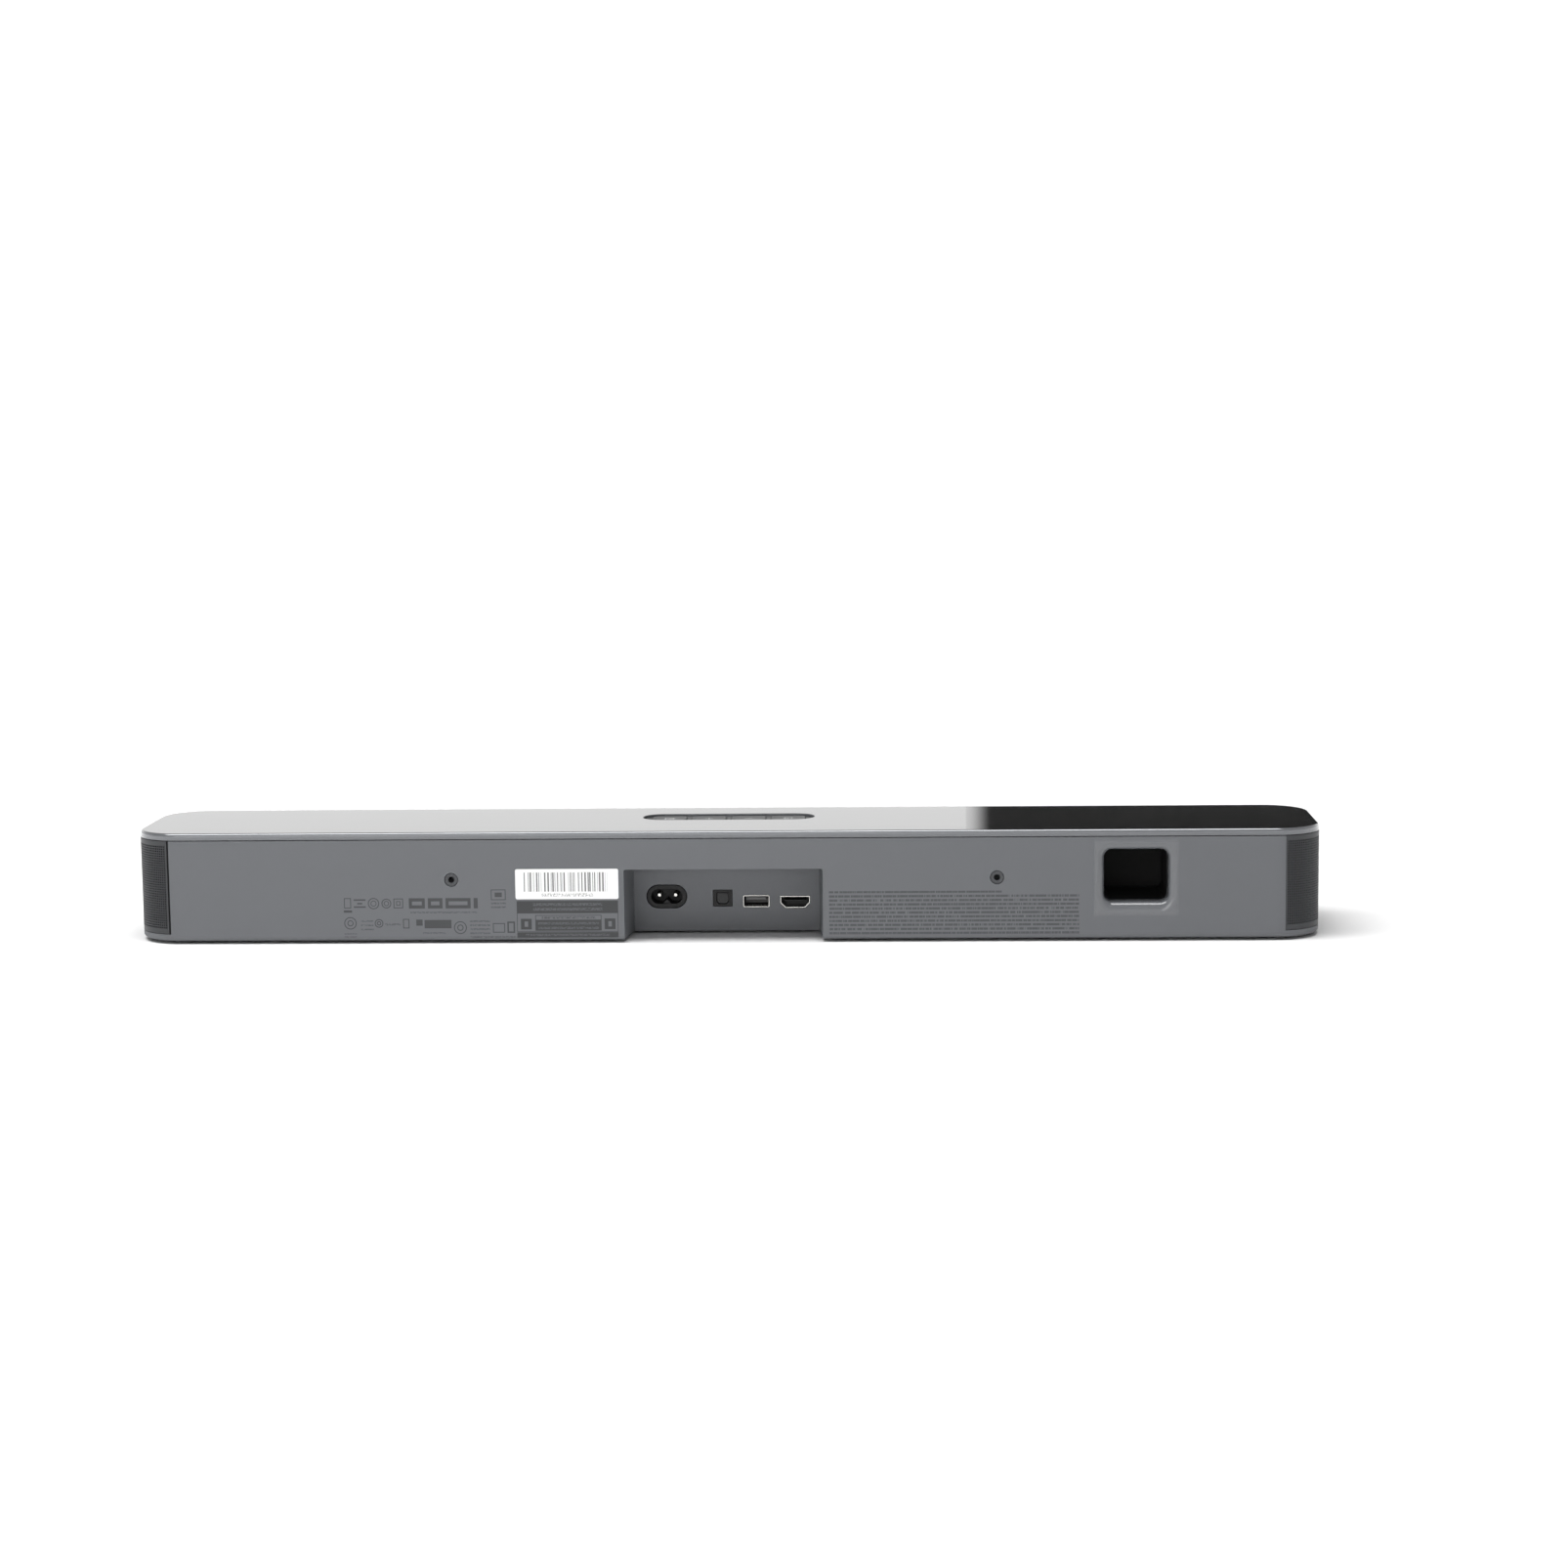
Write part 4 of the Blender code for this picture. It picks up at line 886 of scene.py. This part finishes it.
label = slab("rating_sticker", 53.4 * MM, 15.8 * MM, 1 * MM, LABEL, (44.7 * MM, 44.95 * MM), steps=8)
round_edges(label, 0.08 * MM, 2, lambda middle, way: middle.y > 44.94 * MM)
smooth(label)

label_paper, place = new_finish("label_paper")
x, y, z = apart(place)
u, v = x - LABEL[0], z - LABEL[1]
line = place.node("ShaderNodeCombineXYZ", {}, {0: u * 1200})
widths = line.node("ShaderNodeTexNoise", {}, {"Vector": line, "Scale": 1.0, "Detail": 1.0})
thick = widths.math("GREATER_THAN", widths, 0.515)
stripes = thick * patch(u, v, -21.7, 22.2, -3.9, 6.1)
ticks = place.node("ShaderNodeCombineXYZ", {}, {0: u * 2300, 1: v * 900})
ticks = ticks.node("ShaderNodeTexNoise", {}, {"Vector": ticks, "Scale": 1.0, "Detail": 2.0})
ticks = ticks.math("GREATER_THAN", ticks, 0.53) * patch(u, v, -13.5, 13, -6.5, -4.9)
fibre = noise(place, 500, 4)
paper = between(fibre, grey(0.84), grey(0.93))
set_shader(label_paper, {
    "Base Color": between(stripes * 0.9 + ticks * 0.7, paper, grey(0.06)),
    "Roughness": 0.34 + 0.14 * fibre,
    "Normal": bump(place, fibre, 0.00003, 0.2),
})
place_on(label, label_paper, "housing", "rating_label", slot="white_label")


# Feet. Four oval rubber pads pressed into seats in the floor, with a fine rib round the sole. They
# keep the floor of the tub 1.5 mm off the table.

rubber, place = new_finish("foot_rubber")
dust = noise(place, 400, 4)
set_shader(rubber, {
    "Base Color": between(dust, grey(0.014), grey(0.03)),
    "Roughness": 0.72 + 0.16 * dust,
    "Normal": bump(place, dust, 0.00008, 0.4),
})
for number, centre in enumerate(FEET, 1):
    foot = oval_block(f"foot_pad_{number}", 30 * MM, 8 * MM, centre, (0, 2.2 * MM), "Z")
    round_edges(foot, 0.5 * MM, 4, lambda middle, way: middle.z < 0.01 * MM)
    groove = oval_block("sole_groove", 26 * MM, 4.6 * MM, centre, (-1 * MM, 0.3 * MM), "Z")
    cut(groove, oval_block("sole_middle", 24.8 * MM, 3.4 * MM, centre, (-2 * MM, 1 * MM), "Z"))
    cut(foot, groove)
    smooth(foot, 0.08 * MM)
    place_on(foot, rubber, "housing", f"rubber_foot_{number}", slot="black_rubber")


# Case screws. Four zinc-plated screws with a crossed recess, driven up from wells in the floor into
# the lid's long bosses.

zinc, place = new_finish("zinc_plate")
plating = noise(place, 600, 4)
set_shader(zinc, {
    "Base Color": between(plating, (0.42, 0.42, 0.43, 1), (0.56, 0.56, 0.57, 1)),
    "Roughness": 0.28 + 0.2 * plating,
    "Metallic": 1.0,
    "Normal": bump(place, plating, 0.00003, 0.3),
})
for number, centre in enumerate(SCREWS, 1):
    screw = rod(f"lid_screw_{number}", 3.2 * MM, centre, (1.7 * MM, 2.6 * MM), "Z", 32)
    round_edges(screw, 0.35 * MM, 3, lambda middle, way: middle.z < 1.8 * MM)
    cut(screw, rod("shank", 1.2 * MM, centre, (2.2 * MM, 22 * MM), "Z", 24), operation="UNION")
    for arm_u, arm_v in ((1.5, 0.3), (0.3, 1.5)):
        cut(screw, block("recess", (centre[0] - arm_u * MM, centre[1] - arm_v * MM, 1 * MM),
                         (centre[0] + arm_u * MM, centre[1] + arm_v * MM, 2.3 * MM)))
    smooth(screw, 0.06 * MM)
    place_on(screw, zinc, "housing", f"case_screw_{number}", slot="zinc_steel")


# Damping pads. Two pads of white polyester wadding that fill the ends of the tub and soak up the
# sound behind the drivers. They are stuffed in loose, so they bulge between their corners.

wadding, place = new_finish("polyester_wadding")
fluff = noise(place, 240, 6)
clump = noise(place, 40, 3)
set_shader(wadding, {
    "Base Color": between(clump, grey(0.68), grey(0.82)),
    "Roughness": 0.9 + 0.1 * fluff,
    "Normal": bump(place, fluff, 0.0009, 0.8),
})
for name in ("damping_pad_left", "damping_pad_right"):
    low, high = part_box(name)
    pad = block(f"{name}_wadding", low, high)
    round_edges(pad, 6 * MM, 3, lambda middle, way: True)
    select(pad, "FACE", lambda middle, normal: True)
    bpy.ops.mesh.subdivide(number_cuts=5)
    done()
    apply(pad, "SUBSURF", levels=1, render_levels=1)
    clouds = bpy.data.textures.new("wadding_clumps", "CLOUDS")
    clouds.noise_scale = 12 * MM
    apply(pad, "DISPLACE", texture=clouds, strength=1.6 * MM, mid_level=1.0)
    bpy.ops.object.shade_smooth_by_angle(angle=math.radians(60))
    place_on(pad, wadding, "housing", name, slot="wadding")


# Drivers, baffle, boards, leads and the port's tube. What the modeller's frame already has in its
# true shape keeps that shape, and each takes a finish made for what it is.

def plain_finish(name, low, high, rough, metal=0.0, grain_size=900, height=0.00004, blotch_size=60):
    """A finish with a fine grain that changes its colour and gloss a little, and blotches that change its
    colour a little.
    """
    made, place = new_finish(name)
    grain = noise(place, grain_size, 4)
    blotch = noise(place, blotch_size, 3)
    set_shader(made, {
        "Base Color": between(blotch * 0.6 + grain * 0.4, low, high),
        "Roughness": rough + 0.12 * grain,
        "Metallic": metal,
        "Normal": bump(place, grain, height, 0.35),
    })
    return made


board_paint, place = new_finish("solder_mask_board")
tracks = place.node("ShaderNodeTexBrick", {"offset": 0.5},
                    {"Vector": place, "Scale": 260.0, "Mortar Size": 0.06, "Color1": grey(0),
                     "Color2": grey(0), "Mortar": grey(1)})
pads = place.node("ShaderNodeTexVoronoi", {}, {"Vector": place, "Scale": 420.0})
pads = pads.math("LESS_THAN", pads, 0.22)
set_shader(board_paint, {
    "Base Color": between(pads, between(tracks, (0.012, 0.075, 0.035, 1), (0.03, 0.15, 0.07, 1)),
                          (0.55, 0.5, 0.42, 1)),
    "Roughness": 0.32 + 0.14 * noise(place, 300),
    "Metallic": pads * 0.8,
    "Normal": bump(place, tracks, 0.00005, 0.5),
})

cone_paint, place = new_finish("pressed_paper_cone")
pulp = noise(place, 700, 6)
set_shader(cone_paint, {
    "Base Color": between(pulp, grey(0.02, 0.03), grey(0.05, 0.03)),
    "Roughness": 0.7 + 0.2 * pulp,
    "Normal": bump(place, pulp, 0.00015, 0.7),
})

kept_finishes = {
    "black_plastic": plain_finish("moulded_black", grey(0.004), grey(0.008), 0.55, height=0.00005),
    "nickel": nickel,
    "black_rubber": plain_finish("soft_rubber", grey(0.012), grey(0.022), 0.6),
    "zinc_steel": zinc,
    "circuit_board": board_paint,
    "ferrite": plain_finish("pressed_ferrite", grey(0.03), grey(0.055), 0.5, 0.2, 600, 0.0001),
    "foam": plain_finish("open_cell_foam", grey(0.02), grey(0.06), 0.88, 0.0, 1300, 0.0003),
    "cone_paper": cone_paint,
    "copper": plain_finish("enamelled_wire", (0.45, 0.16, 0.06, 1), (0.62, 0.26, 0.1, 1), 0.25, 1.0, 2500),
    "aluminium": plain_finish("extruded_aluminium", grey(0.52), grey(0.66), 0.3, 1.0, 500),
    "capacitor_sleeve": plain_finish("shrunk_sleeve", (0.01, 0.02, 0.06, 1), (0.02, 0.035, 0.09, 1), 0.22),
    "smoked_window": plain_finish("smoked_acrylic", (0.012, 0.006, 0.006, 1), (0.02, 0.01, 0.01, 1), 0.06),
    "cable_film": plain_finish("flat_cable_film", grey(0.6), grey(0.74), 0.3),
}
for subpart in frame["record"]["subparts"]:
    finish = kept_finishes.get(subpart["material_slot"])
    kept = nodes[subpart["node"]]
    if finish:
        for material_slot in kept.material_slots:
            material_slot.material = finish
